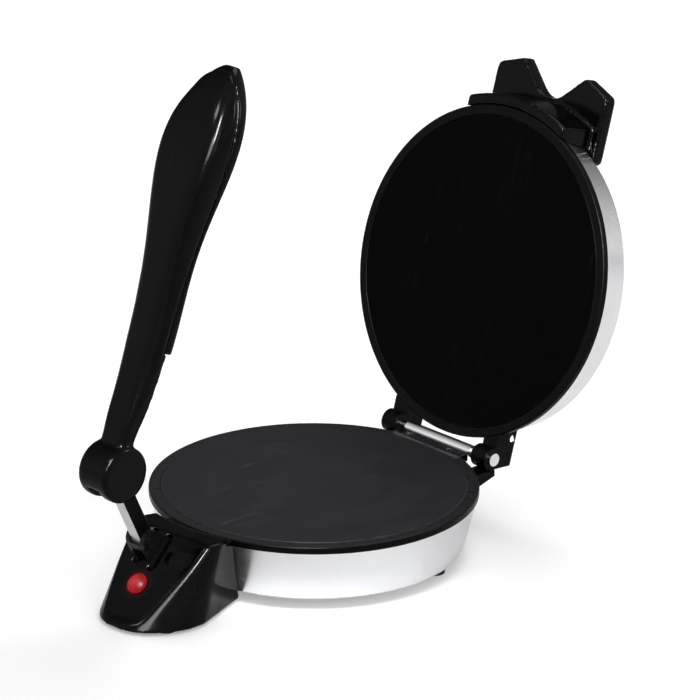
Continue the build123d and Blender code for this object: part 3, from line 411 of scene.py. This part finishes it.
def addWear(tree, coords, look, surface):
    wear = look["wear"]
    worn = placeGroup(tree, edgeWear, coords, (-1300, -1050), Radius=wear["radius"])
    mask = scaled(tree, worn["Mask"], wear["amount"], (-900, -1050))
    surface["colour"] = blendColours(tree, mask, surface["colour"], wear["colour"], (-200, 400))


def addDust(tree, coords, look, surface):
    dust = placeGroup(tree, restingDust, coords, (-1300, -1250))
    mask = scaled(tree, dust["Mask"], look["dust"], (-900, -1250))
    surface["colour"] = blendColours(tree, mask, surface["colour"], effects["dustColour"], (-50, 400))
    more = scaled(tree, mask, effects["dustRough"], (-700, -1250))
    surface["rough"] = mathNode(tree, "ADD", surface["rough"], more, (-250, 60))


def addHalo(tree, coords, halo, shader):
    # painted glow: the light of a lamp beside it, given off as emission by this surface
    away = distanceFrom(tree, coords, boxMiddle(halo["node"]), (-1300, -1450))
    near = rangeNode(tree, away, halo["inner"], halo["outer"], 1.0, 0.0, (-1100, -1450))
    falloff = mathNode(tree, "POWER", near, effects["haloFalloff"], (-900, -1450))
    strength = scaled(tree, falloff, halo["glow"], (-700, -1450))
    setInput(shader, "Emission Color", (*halo["colour"], 1.0))
    join(tree, strength, shader.inputs["Emission Strength"])


def addBump(tree, look, height, shader):
    bump = addNode(tree, "ShaderNodeBump", (-250, -400))
    setInput(bump, "Distance", 1.0)
    join(tree, height, bump.inputs["Height"])
    if "round" in look:
        softened = addNode(tree, "ShaderNodeBevel", (-500, -600), samples=edgeLook["samples"])
        setInput(softened, "Radius", look["round"])
        join(tree, softened.outputs[0], bump.inputs["Normal"])
    join(tree, bump.outputs[0], shader.inputs["Normal"])


# in the order in which they lie on each other
layers = {
    "grain": addGrain, "rings": addRings, "scratch": addScratches,
    "paintedFacing": addPaintedFacing, "wear": addWear, "dust": addDust,
}


def makeFinish(name, look):
    values = {"Metallic": look["metal"], **look.get("shader", {})}
    material, tree, shader, coords = startMaterial(name, values)
    if look.get("onLid"):
        coords = turnedCoords(tree, coords)
    scale, contrast = look["mottle"]
    blotch = placeGroup(tree, mottle, coords, (-1300, 300), Scale=scale, Contrast=contrast)
    smudge = placeGroup(
        tree, mottle, coords, (-1300, 60),
        Scale=scale * effects["smudgeScale"], Contrast=effects["smudgeContrast"],
    )
    surface = {
        "colour": blendColours(tree, blotch["Mask"], look["colour"], look["shade"], (-900, 400)),
        "rough": rangeNode(tree, smudge["Mask"], 0.0, 1.0, *look["rough"], (-900, 60)),
        "height": None,
    }
    for layer, add in layers.items():
        if layer in look:
            add(tree, coords, look, surface)
    join(tree, surface["colour"], shader.inputs["Base Color"])
    join(tree, surface["rough"], shader.inputs["Roughness"])
    if "halo" in look:
        addHalo(tree, coords, look["halo"], shader)
    if surface["height"] is not None:
        addBump(tree, look, surface["height"], shader)
    shader.location = (150, 300)
    tree.nodes["Material Output"].location = (450, 300)
    return material


# colour and shade are mixed by the mottle, given as scale and contrast
# rough is the lowest and highest roughness, and round is the radius that softens edges
finishLooks = {
    "polishedSteel": {
        "colour": (0.83, 0.83, 0.84), "shade": (0.74, 0.745, 0.76), "metal": 1.0, "rough": (0.10, 0.19),
        "mottle": (14.0, 1.4),
        "rings": {"pitch": 1400.0, "waviness": 5.0, "height": 0.000005, "tone": 0.36},
        "scratch": {"scale": 55.0, "width": 0.010, "amount": 0.30, "colour": (0.93, 0.93, 0.94)},
    },
    "polishedSteelLid": {
        "colour": (0.83, 0.83, 0.84), "shade": (0.74, 0.745, 0.76), "metal": 1.0, "rough": (0.11, 0.21),
        "onLid": True, "mottle": (14.0, 1.4),
        "rings": {"pitch": 1400.0, "waviness": 5.0, "height": 0.000005, "tone": 0.40},
        "scratch": {"scale": 55.0, "width": 0.010, "amount": 0.30, "colour": (0.93, 0.93, 0.94)},
    },
    "chromedSteel": {
        "colour": (0.80, 0.80, 0.81), "shade": (0.70, 0.71, 0.73), "metal": 1.0, "rough": (0.07, 0.16),
        "mottle": (60.0, 1.3),
        "scratch": {"scale": 150.0, "width": 0.012, "amount": 0.35, "colour": (0.92, 0.92, 0.93)},
        "wear": {"radius": 0.0006, "amount": 0.3, "colour": (0.9, 0.9, 0.9)},
    },
    "zincSteel": {
        "colour": (0.60, 0.61, 0.62), "shade": (0.50, 0.49, 0.44), "metal": 1.0, "rough": (0.26, 0.42),
        "mottle": (120.0, 2.0),
        "grain": {"scale": 2600.0, "wave": 260.0, "waviness": 1.2, "height": 0.000006},
        "scratch": {"scale": 160.0, "width": 0.014, "amount": 0.3, "colour": (0.75, 0.75, 0.76)},
        "wear": {"radius": 0.0005, "amount": 0.4, "colour": (0.78, 0.78, 0.78)},
    },
    "aluminisedSheet": {
        "colour": (0.62, 0.63, 0.64), "shade": (0.47, 0.48, 0.50), "metal": 1.0, "rough": (0.30, 0.46),
        "mottle": (45.0, 2.4),
        "grain": {"scale": 900.0, "wave": 30.0, "waviness": 3.0, "height": 0.00001},
        "scratch": {"scale": 45.0, "width": 0.010, "amount": 0.35, "colour": (0.78, 0.78, 0.79)},
        "wear": {"radius": 0.0008, "amount": 0.4, "colour": (0.8, 0.8, 0.8)}, "dust": 0.10,
    },
    "heaterSheath": {
        "colour": (0.34, 0.33, 0.33), "shade": (0.20, 0.15, 0.13), "metal": 1.0, "rough": (0.38, 0.58),
        "mottle": (160.0, 2.2),
        "grain": {"scale": 1800.0, "wave": 200.0, "waviness": 1.0, "height": 0.00001},
    },
    "greyNonStick": {
        "colour": (0.032, 0.030, 0.034), "shade": (0.019, 0.018, 0.021), "metal": 0.0,
        "rough": (0.30, 0.42), "mottle": (22.0, 1.2), "shader": {"Specular IOR Level": 0.08}, "pores": 0.5,
        "grain": {"scale": 1900.0, "wave": 90.0, "waviness": 1.2, "height": 0.000013},
        "rings": {"pitch": 700.0, "waviness": 4.0, "height": 0.000004, "tone": 0.4},
        "scratch": {"scale": 38.0, "width": 0.007, "amount": 0.22, "colour": (0.13, 0.125, 0.125)},
        "wear": {"radius": 0.0010, "amount": 0.35, "colour": (0.25, 0.25, 0.25)},
    },
    "blackNonStick": {
        "colour": (0.0003, 0.0002, 0.0007), "shade": (0.0009, 0.0007, 0.0013), "metal": 0.0,
        "rough": (0.30, 0.40), "onLid": True, "mottle": (20.0, 1.2),
        "shader": {"Specular IOR Level": 0.018}, "pores": 0.4,
        "grain": {"scale": 1900.0, "wave": 90.0, "waviness": 1.2, "height": 0.000012},
        "rings": {"pitch": 700.0, "waviness": 4.0, "height": 0.000004, "tone": 0.4},
        "scratch": {"scale": 38.0, "width": 0.006, "amount": 0.10, "colour": (0.05, 0.048, 0.05)},
        "wear": {"radius": 0.0010, "amount": 0.2, "colour": (0.10, 0.10, 0.10)},
    },
    "glossBlack": {
        "colour": (0.0005, 0.0004, 0.0009), "shade": (0.0012, 0.0011, 0.0017), "metal": 0.0,
        "rough": (0.10, 0.20), "mottle": (26.0, 1.6), "shader": {"Specular IOR Level": 0.08}, "pores": 0.1,
        "grain": {"scale": 2400.0, "wave": 34.0, "waviness": 7.0, "height": 0.000010},
        "scratch": {"scale": 70.0, "width": 0.006, "amount": 0.16, "colour": (0.025, 0.025, 0.028)},
        "wear": {"radius": 0.0009, "amount": 0.25, "colour": (0.03, 0.03, 0.033)}, "dust": 0.006,
    },
    "satinBlack": {
        "colour": (0.0010, 0.0009, 0.0013), "shade": (0.0024, 0.0022, 0.0028), "metal": 0.0,
        "rough": (0.24, 0.36), "mottle": (40.0, 1.6), "shader": {"Specular IOR Level": 0.055},
        "round": 0.0009, "pores": 0.3,
        "grain": {"scale": 2100.0, "wave": 60.0, "waviness": 3.0, "height": 0.000014},
        "scratch": {"scale": 70.0, "width": 0.007, "amount": 0.16, "colour": (0.035, 0.035, 0.037)},
        "wear": {"radius": 0.0008, "amount": 0.35, "colour": (0.04, 0.04, 0.042)}, "dust": 0.010,
    },
    "blackEnamel": {
        "colour": (0.004, 0.004, 0.0045), "shade": (0.007, 0.007, 0.0075), "metal": 0.0,
        "rough": (0.20, 0.34), "mottle": (60.0, 1.6), "shader": {"Specular IOR Level": 0.12}, "pores": 0.1,
        "grain": {"scale": 1500.0, "wave": 120.0, "waviness": 1.2, "height": 0.000005},
        "scratch": {"scale": 80.0, "width": 0.008, "amount": 0.2, "colour": (0.06, 0.06, 0.06)},
        "wear": {"radius": 0.0005, "amount": 0.4, "colour": (0.10, 0.10, 0.10)},
    },
    "blackRubber": {
        "colour": (0.012, 0.012, 0.012), "shade": (0.026, 0.025, 0.024), "metal": 0.0,
        "rough": (0.66, 0.85), "mottle": (120.0, 1.8), "shader": {"Specular IOR Level": 0.3}, "pores": 0.4,
        "grain": {"scale": 1300.0, "wave": 300.0, "waviness": 1.0, "height": 0.00003},
        "wear": {"radius": 0.0008, "amount": 0.5, "colour": (0.06, 0.058, 0.055)}, "dust": 0.15,
    },
    "ceramicFibre": {
        "colour": (0.80, 0.77, 0.70), "shade": (0.62, 0.58, 0.50), "metal": 0.0, "rough": (0.88, 0.97),
        "mottle": (60.0, 2.2), "shader": {"Specular IOR Level": 0.15, "Sheen Weight": 0.3}, "pores": 0.6,
        "grain": {"scale": 900.0, "wave": 380.0, "waviness": 2.5, "height": 0.00012},
    },
    "creamNylon": {
        "colour": (0.74, 0.70, 0.58), "shade": (0.66, 0.60, 0.47), "metal": 0.0, "rough": (0.42, 0.56),
        "mottle": (90.0, 1.6), "pores": 0.3,
        "grain": {"scale": 1700.0, "wave": 150.0, "waviness": 1.5, "height": 0.00002},
        "wear": {"radius": 0.0005, "amount": 0.3, "colour": (0.82, 0.79, 0.70)}, "dust": 0.06,
    },
}
finishLooks["rimBlackPaintedTop"] = {  # painted highlight: paler where it looks up, as if lit from above
    **finishLooks["satinBlack"],
    "paintedFacing": {"axis": (0.0, 0.0, 1.0), "low": 0.75, "high": 0.97, "colour": (0.024, 0.0225, 0.026)},
}
finishLooks["linkSteelShadedSides"] = {  # painted shade: black on its two sides, where the shade falls, and bare steel at its front and back
    **finishLooks["zincSteel"],
    "paintedFacing": {"axis": (1.0, 0.0, 0.0), "low": 0.45, "high": 0.75, "colour": (0.006, 0.006, 0.007)},
}
finishLooks["housingBlack"] = {  # with a painted red glow of the lamp round its lens, given off by the housing itself
    **finishLooks["glossBlack"],
    "halo": {"node": "lamp_lens", "inner": 0.006, "outer": 0.015, "colour": (0.60, 0.01, 0.02), "glow": 0.07},
}
finishes = {name: makeFinish(name, look) for name, look in finishLooks.items()}
print("finishes built,", len(finishes))


lampLook = {
    "core": (0.70, 0.19, 0.20), "body": (0.46, 0.045, 0.055), "rim": (0.14, 0.006, 0.008),
    "coreStop": 0.18, "bodyStop": 0.55, "rimStop": 0.95, "radii": (0.00216, 0.0074),
    "surface": ((0.75, 0.10, 0.10), (0.30, 0.01, 0.012)), "mottle": (420.0, 1.6), "sway": 0.12,
    "ribsPerMetre": 950.0, "ribHeight": 0.00004,
    "shader": {"Roughness": 0.30, "Specular IOR Level": 0.05, "Emission Strength": 0.85},
}


def makeLampFinish():
    material, tree, shader, coords = startMaterial("redLens", lampLook["shader"])
    away = distanceFrom(tree, coords, boxMiddle("lamp_lens"), (-1300, 200))
    inner = rangeNode(tree, away, *lampLook["radii"], 0.0, 1.0, (-1100, 200))
    scale, contrast = lampLook["mottle"]
    blotch = placeGroup(tree, mottle, coords, (-1300, -100), Scale=scale, Contrast=contrast)
    sway = rangeNode(tree, blotch["Mask"], 0.0, 1.0, -lampLook["sway"], lampLook["sway"], (-1100, -100))
    share = mathNode(tree, "ADD", inner, sway, (-900, 100))
    glow = addNode(tree, "ShaderNodeValToRGB", (-700, 200))
    stops = glow.color_ramp.elements
    stops[0].position = lampLook["coreStop"]
    stops[0].color = (*lampLook["core"], 1.0)
    stops[1].position = lampLook["rimStop"]
    stops[1].color = (*lampLook["rim"], 1.0)
    stops.new(lampLook["bodyStop"]).color = (*lampLook["body"], 1.0)
    join(tree, share, glow.inputs["Fac"])
    join(tree, glow.outputs["Color"], shader.inputs["Emission Color"])
    base = blendColours(tree, share, *lampLook["surface"], (-400, 400))
    join(tree, base, shader.inputs["Base Color"])
    ribs = scaled(tree, away, lampLook["ribsPerMetre"] * 2 * math.pi, (-1100, -300))
    wave = mathNode(tree, "SINE", ribs, None, (-900, -300))
    ribHeight = scaled(tree, wave, lampLook["ribHeight"], (-700, -300))
    addBump(tree, lampLook, ribHeight, shader)
    return material


neonLook = {
    "colour": (1.0, 0.35, 0.18), "shade": (1.0, 0.55, 0.30), "mottle": (600.0, 2.0),
    "shader": {"Roughness": 0.25, "Emission Strength": 2.5},
}


def makeNeonFinish():
    material, tree, shader, coords = startMaterial("neonLamp", neonLook["shader"])
    scale, contrast = neonLook["mottle"]
    blotch = placeGroup(tree, mottle, coords, (-1000, 0), Scale=scale, Contrast=contrast)
    colour = blendColours(tree, blotch["Mask"], neonLook["colour"], neonLook["shade"], (-600, 200))
    join(tree, colour, shader.inputs["Base Color"])
    join(tree, colour, shader.inputs["Emission Color"])
    return material


finishes["redLens"] = makeLampFinish()
finishes["neonLamp"] = makeNeonFinish()

nodeFinish = {
    "base_skirt": "polishedSteel", "base_rim": "rimBlackPaintedTop", "bottom_pan": "aluminisedSheet",
    "rubber_feet": "blackRubber", "foot_screws": "zincSteel", "foot_nuts": "zincSteel",
    "lower_plate": "greyNonStick", "lower_heating_element": "heaterSheath",
    "lower_clamp_plate": "aluminisedSheet", "lower_insulation": "ceramicFibre",
    "lower_heat_shield": "aluminisedSheet", "lower_sleeves": "zincSteel",
    "lower_tie_screws": "zincSteel", "lower_thermal_fuse": "zincSteel", "thermostat": "creamNylon",
    "thermostat_screws": "zincSteel", "control_housing": "housingBlack", "housing_floor": "satinBlack",
    "housing_floor_screws": "zincSteel", "housing_screws": "zincSteel", "nose_pads": "blackRubber",
    "lamp_lens": "redLens", "lamp_neon": "neonLamp", "terminal_block": "creamNylon",
    "cord_gland": "blackRubber", "pivot_bracket": "blackEnamel", "bracket_screws": "zincSteel",
    "bracket_nuts": "zincSteel", "link_pin": "blackEnamel", "hinge_leaf": "chromedSteel",
    "hinge_leaf_screws": "chromedSteel", "hinge_rod": "chromedSteel", "hinge_stop_left": "satinBlack",
    "hinge_stop_right": "satinBlack", "hinge_stop_screws": "zincSteel", "lid_rim": "satinBlack",
    "lid_cover": "polishedSteelLid", "lid_plate": "blackNonStick",
    "lid_heating_element": "heaterSheath", "lid_clamp_plate": "aluminisedSheet",
    "lid_insulation": "ceramicFibre", "lid_heat_shield": "aluminisedSheet",
    "lid_thermal_fuse": "zincSteel", "lid_sleeves": "zincSteel", "lid_tie_screws": "zincSteel",
    "lid_arm_left": "satinBlack", "lid_arm_right": "satinBlack", "lid_arm_screws": "zincSteel",
    "press_saddle": "glossBlack", "saddle_screws": "zincSteel", "link": "linkSteelShadedSides",
    "lever_handle": "glossBlack", "lever_grip_cover": "glossBlack", "grip_screws": "zincSteel",
    "lever_pin": "blackEnamel",
}


def dress(thing, material):
    thing.data.materials.clear()
    thing.data.materials.append(material)


for name, thing in nodes.items():
    dress(thing, finishes[nodeFinish[name]])
print("nodes dressed")


# Moulded pieces: the CAD shapes with the soft edges of a moulding

def leant(angle):
    # upward, turned towards the lid's side by an angle, to four places
    return 0.0, round(math.sin(angle), 4), round(math.cos(angle), 4)


right, front, up, down = (1.0, 0.0, 0.0), (0.0, -1.0, 0.0), (0.0, 0.0, 1.0), (0.0, 0.0, -1.0)
leverUp = leant(leverLean)
leverBack = (0.0, leverUp[2], -leverUp[1])
leverFront = (0.0, -leverUp[2], leverUp[1])
lidOutward = leant(lidTurn)

# a crown's rounding sets in at the first distance from its start in each direction, and is full at the second
mouldedLooks = {
    "lever_handle": {
        "body": "lever", "voxel": 0.0011, "rounds": 10,
        "crown": {
            "start": leverPoint, "bothSides": False, "rounds": 260,
            "limits": [(leverUp, 0.030, 0.075), (leverFront, 0.001, 0.006)],
        },
    },
    "lever_grip_cover": {"body": "lever", "voxel": 0.0010, "rounds": 12},
    "control_housing": {
        "body": "base", "voxel": 0.0010, "rounds": 6,
        "crown": {
            "start": (0.0, -0.130, 0.0), "bothSides": True, "rounds": 60,
            "limits": [(right, 0.017, 0.026), (front, 0.0, 0.012), (up, 0.005, 0.014)],
        },
    },
    "press_saddle": {"body": "lid", "voxel": 0.0010, "rounds": 16},
}
weldDistance = 0.00002
mouldedAngle = 40  # degrees between faces, up to which they are shaded as one
screwAngle = 35


def ownCopy(name, newName):
    # a copy of a CAD node with its loose triangles merged
    bpy.ops.object.select_all(action="DESELECT")
    source = nodes[name]
    source.select_set(True)
    bpy.context.view_layer.objects.active = source
    bpy.ops.object.duplicate()
    piece = bpy.context.object
    piece.name = newName
    bpy.ops.object.parent_clear(type="CLEAR_KEEP_TRANSFORM")
    bpy.ops.object.transform_apply(location=True, rotation=True, scale=True)
    bpy.ops.object.mode_set(mode="EDIT")
    bpy.ops.mesh.select_all(action="SELECT")
    bpy.ops.mesh.customdata_custom_splitnormals_clear()
    bpy.ops.mesh.remove_doubles(threshold=weldDistance)
    bpy.ops.mesh.normals_make_consistent(inside=False)
    bpy.ops.object.mode_set(mode="OBJECT")
    return piece


def settle(piece, body, finish, smoothAngle):
    # last steps of every new piece: outward normals, smooth shading, its body and its finish
    bpy.ops.object.select_all(action="DESELECT")
    piece.select_set(True)
    bpy.context.view_layer.objects.active = piece
    bpy.ops.object.mode_set(mode="EDIT")
    bpy.ops.mesh.select_all(action="SELECT")
    bpy.ops.mesh.normals_make_consistent(inside=False)
    bpy.ops.object.mode_set(mode="OBJECT")
    bpy.ops.object.shade_smooth_by_angle(angle=math.radians(smoothAngle))
    dress(piece, finishes[finish])
    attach(piece, body)


def smoothShare(value, low, high):
    # from 0 at low to 1 at high, level at both ends
    share = min(max((value - low) / (high - low), 0.0), 1.0)
    return share * share * (3.0 - 2.0 * share)


def smoothed(piece, rounds, region=""):
    soften = piece.modifiers.new("soften", "SMOOTH")
    soften.factor = 0.5
    soften.iterations = rounds
    soften.vertex_group = region
    bpy.ops.object.modifier_apply(modifier="soften")


def roundCrown(piece, crown):
    # the chosen region is rounded much more, while seams, slots and hubs keep their shape
    start = Vector(crown["start"])
    group = piece.vertex_groups.new(name="crown")
    for vertex in piece.data.vertices:
        offset = vertex.co - start
        if crown["bothSides"]:
            offset.x = abs(offset.x)
        weight = 1.0
        for direction, low, high in crown["limits"]:
            weight *= smoothShare(offset.dot(Vector(direction)), low, high)
        if weight > 0.0:
            group.add([vertex.index], weight, "REPLACE")
    smoothed(piece, crown["rounds"], "crown")
    piece.vertex_groups.clear()


def buildMoulded(name, look):
    piece = ownCopy(name, name + "_moulded")
    remesh = piece.modifiers.new("evenSkin", "REMESH")
    remesh.mode = "VOXEL"
    remesh.voxel_size = look["voxel"]
    bpy.ops.object.modifier_apply(modifier="evenSkin")
    smoothed(piece, look["rounds"])
    if "crown" in look:
        roundCrown(piece, look["crown"])
    settle(piece, look["body"], nodeFinish[name], mouldedAngle)
    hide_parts(name)
    print("moulded", name, len(piece.data.polygons), "faces")


for name, look in mouldedLooks.items():
    buildMoulded(name, look)
print("moulded pieces built,", len(mouldedLooks))


# Screws with a cross recess in each head

# outward is the way a head faces, and the recess is a cross of two bars
screwLooks = {
    "hinge_leaf_screws": {"body": "base", "outward": up, "cross": 0.0030, "depth": 0.0011},
    "grip_screws": {"body": "lever", "outward": leverBack, "cross": 0.0034, "depth": 0.0011},
    "foot_screws": {"body": "base", "outward": down, "cross": 0.0044, "depth": 0.0014},
    "housing_floor_screws": {"body": "base", "outward": down, "cross": 0.0034, "depth": 0.0011},
    "lower_tie_screws": {"body": "base", "outward": down, "cross": 0.0044, "depth": 0.0014},
    "lid_tie_screws": {"body": "lid", "outward": lidOutward, "cross": 0.0044, "depth": 0.0014},
}
barShare = 0.24  # a bar's width, as a share of the cross
topBand = 0.0001  # what lies this near to the top of a head gives its centre


def cutBar(part, centre, turn, size):
    # a bar that is taken out of the head and then thrown away
    bpy.ops.mesh.primitive_cube_add(size=1.0)
    bar = bpy.context.object
    bar.rotation_mode = "QUATERNION"
    bar.rotation_quaternion = turn
    bar.scale = size
    bar.location = centre
    bpy.ops.object.select_all(action="DESELECT")
    part.select_set(True)
    bpy.context.view_layer.objects.active = part
    cut = part.modifiers.new("recess", "BOOLEAN")
    cut.operation = "DIFFERENCE"
    cut.object = bar
    bpy.ops.object.modifier_apply(modifier="recess")
    bpy.data.objects.remove(bar)


def buildScrews(name, look):
    piece = ownCopy(name, name + "_recessed")
    bpy.ops.object.mode_set(mode="EDIT")
    bpy.ops.mesh.separate(type="LOOSE")
    bpy.ops.object.mode_set(mode="OBJECT")
    parts = list(bpy.context.selected_objects)
    outward = Vector(look["outward"]).normalized()
    turn = outward.to_track_quat("Z", "Y")
    length, width, height = look["cross"], look["cross"] * barShare, 2 * look["depth"]
    for part in parts:
        points = [vertex.co for vertex in part.data.vertices]
        highest = max(point.dot(outward) for point in points)
        top = [point for point in points if point.dot(outward) > highest - topBand]
        centre = sum(top, Vector()) / len(top)
        cutBar(part, centre, turn, (length, width, height))
        cutBar(part, centre, turn, (width, length, height))
    bpy.ops.object.select_all(action="DESELECT")
    for part in parts:
        part.select_set(True)
    bpy.context.view_layer.objects.active = parts[0]
    if len(parts) > 1:
        bpy.ops.object.join()
    parts[0].name = name + "_recessed"
    settle(parts[0], look["body"], nodeFinish[name], screwAngle)
    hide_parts(name)


for name, look in screwLooks.items():
    buildScrews(name, look)
print("recessed screws built,", len(screwLooks), "sets")


# Stage, lamps and camera

stageLook = {
    "size": 8.0, "cells": 12, "colour": (0.90, 0.90, 0.90), "shade": (0.88, 0.88, 0.88), "mottle": (3.0, 0.5),
    "lift": 0.28, "mirrored": 0.30,  # what the floor adds by itself, and the share of that in reflections
}


def buildFloor():
    bpy.ops.object.select_all(action="DESELECT")
    cells = stageLook["cells"]
    bpy.ops.mesh.primitive_grid_add(x_subdivisions=cells, y_subdivisions=cells, size=stageLook["size"])
    floor = bpy.context.object
    floor.name = "studioFloor"
    matt = {"Roughness": 0.9, "Specular IOR Level": 0.0}
    material, tree, shader, coords = startMaterial("studioFloor", matt)
    scale, contrast = stageLook["mottle"]
    blotch = placeGroup(tree, mottle, coords, (-900, 0), Scale=scale, Contrast=contrast)
    colour = blendColours(tree, blotch["Mask"], stageLook["colour"], stageLook["shade"], (-600, 0))
    join(tree, colour, shader.inputs["Base Color"])
    rays = addNode(tree, "ShaderNodeLightPath", (-900, -300))
    mirrored = scaled(tree, rays.outputs["Is Glossy Ray"], stageLook["mirrored"], (-650, -450))
    seen = mathNode(tree, "MAXIMUM", rays.outputs["Is Camera Ray"], mirrored, (-450, -300))
    every = mathNode(tree, "MAXIMUM", seen, rays.outputs["Is Transmission Ray"], (-300, -300))
    lift = scaled(tree, every, stageLook["lift"], (-150, -300))
    setInput(shader, "Emission Color", (1.0, 1.0, 1.0, 1.0))
    join(tree, lift, shader.inputs["Emission Strength"])
    dress(floor, material)


# light is for dull surfaces, and seen is the brightness behind the object and in reflections
worldLook = {
    "light": 0.55, "seen": 1.0, "dimToward": (-0.80, 0.55, 0.20), "dimBetween": (0.15, 0.85), "dimTo": 0.10,
}


def buildWorld():
    world = bpy.data.worlds.new("studioWorld")
    bpy.context.scene.world = world
    world.use_nodes = True
    tree = world.node_tree
    background = tree.nodes["Background"]
    rays = addNode(tree, "ShaderNodeLightPath", (-900, 0))
    seen = mathNode(tree, "MAXIMUM", rays.outputs["Is Camera Ray"], rays.outputs["Is Glossy Ray"], (-700, 0))
    every = mathNode(tree, "MAXIMUM", seen, rays.outputs["Is Transmission Ray"], (-500, 0))
    strength = rangeNode(tree, every, 0.0, 1.0, worldLook["light"], worldLook["seen"], (-300, 0))
    # only reflections find the studio dimmer on one side
    direction = addNode(tree, "ShaderNodeTexCoord", (-900, -300)).outputs["Generated"]
    toward = addNode(tree, "ShaderNodeVectorMath", (-700, -300), operation="DOT_PRODUCT")
    join(tree, direction, toward.inputs[0])
    setInput(toward, 1, worldLook["dimToward"])
    near, full = worldLook["dimBetween"]
    dim = rangeNode(tree, toward.outputs["Value"], near, full, 1.0, worldLook["dimTo"], (-500, -300))
    mirrored = mathNode(tree, "SUBTRACT", dim, 1.0, (-300, -300))
    onlyGlossy = mathNode(tree, "MULTIPLY", mirrored, rays.outputs["Is Glossy Ray"], (-150, -300))
    factor = mathNode(tree, "ADD", onlyGlossy, 1.0, (0, -300))
    total = mathNode(tree, "MULTIPLY", strength, factor, (150, 0))
    setInput(background, "Color", (1.0, 1.0, 1.0, 1.0))
    join(tree, total, background.inputs["Strength"])


# the last four only make highlights and don't light dull surfaces
lamps = {
    "topSoftbox": {"toward": (-0.15, 0.50, 0.85), "distance": 1.9, "size": (1.1, 0.9), "power": 15.0},
    "rightSoftbox": {"toward": (0.85, -0.30, 0.43), "distance": 2.1, "size": (0.4, 0.9), "power": 5.0},
    "highStrip": {"toward": (0.47, -0.57, 0.68), "distance": 2.2, "size": (0.34, 0.90), "power": 210.0},
    "frontGlow": {"toward": (0.36, -0.80, 0.48), "distance": 2.2, "size": (0.80, 0.70), "power": 50.0},
    "leftStrip": {"toward": (-0.28, -0.56, 0.78), "distance": 2.2, "size": (0.30, 0.36), "power": 16.0},
    "edgeStrip": {"toward": (0.74, 0.60, 0.30), "distance": 2.2, "size": (0.16, 0.50), "power": 8.0},
}
onlyShine = ("highStrip", "frontGlow", "leftStrip", "edgeStrip")
lampAim = Vector((0.0, 0.0, 0.18))


def buildLamps():
    for name, look in lamps.items():
        data = bpy.data.lights.new(name, "AREA")
        data.shape = "RECTANGLE"
        data.size, data.size_y = look["size"]
        data.energy = look["power"]
        lamp = bpy.data.objects.new(name, data)
        bpy.context.collection.objects.link(lamp)
        lamp.visible_diffuse = name not in onlyShine
        outward = Vector(look["toward"]).normalized()
        lamp.location = lampAim + outward * look["distance"]
        lamp.rotation_euler = outward.to_track_quat("Z", "Y").to_euler()


cameraLook = {
    "azimuth": 46.2, "elevation": 21.4, "roll": 0.3, "distance": 6.457, "lens": 480.74, "sensor": 36.0,
    "target": (0.0, 0.0, 0.1497), "aside": 0.0245, "above": 0.0005, "clip": (0.1, 60.0),
}


def buildCamera():
    azimuth = math.radians(cameraLook["azimuth"])
    elevation = math.radians(cameraLook["elevation"])
    aside = Vector((math.cos(azimuth), math.sin(azimuth), 0.0))
    forward = Vector((
        -math.sin(azimuth) * math.cos(elevation),
        math.cos(azimuth) * math.cos(elevation),
        -math.sin(elevation),
    ))
    above = aside.cross(forward)
    data = bpy.data.cameras.new("mainCamera")
    data.lens = cameraLook["lens"]
    data.sensor_width = cameraLook["sensor"]
    data.clip_start, data.clip_end = cameraLook["clip"]
    camera = bpy.data.objects.new("mainCamera", data)
    bpy.context.collection.objects.link(camera)
    aimed = Vector(cameraLook["target"]) + aside * cameraLook["aside"] + above * cameraLook["above"]
    place = aimed - forward * cameraLook["distance"]
    turn = Matrix((aside, above, -forward)).transposed()
    roll = Matrix.Rotation(math.radians(cameraLook["roll"]), 3, "Z")
    camera.matrix_world = Matrix.Translation(place) @ (turn @ roll).to_4x4()
    bpy.context.scene.camera = camera


buildFloor()
buildWorld()
buildLamps()
buildCamera()
bpy.context.scene.view_settings.view_transform = "Standard"
print("stage, lamps and camera set")
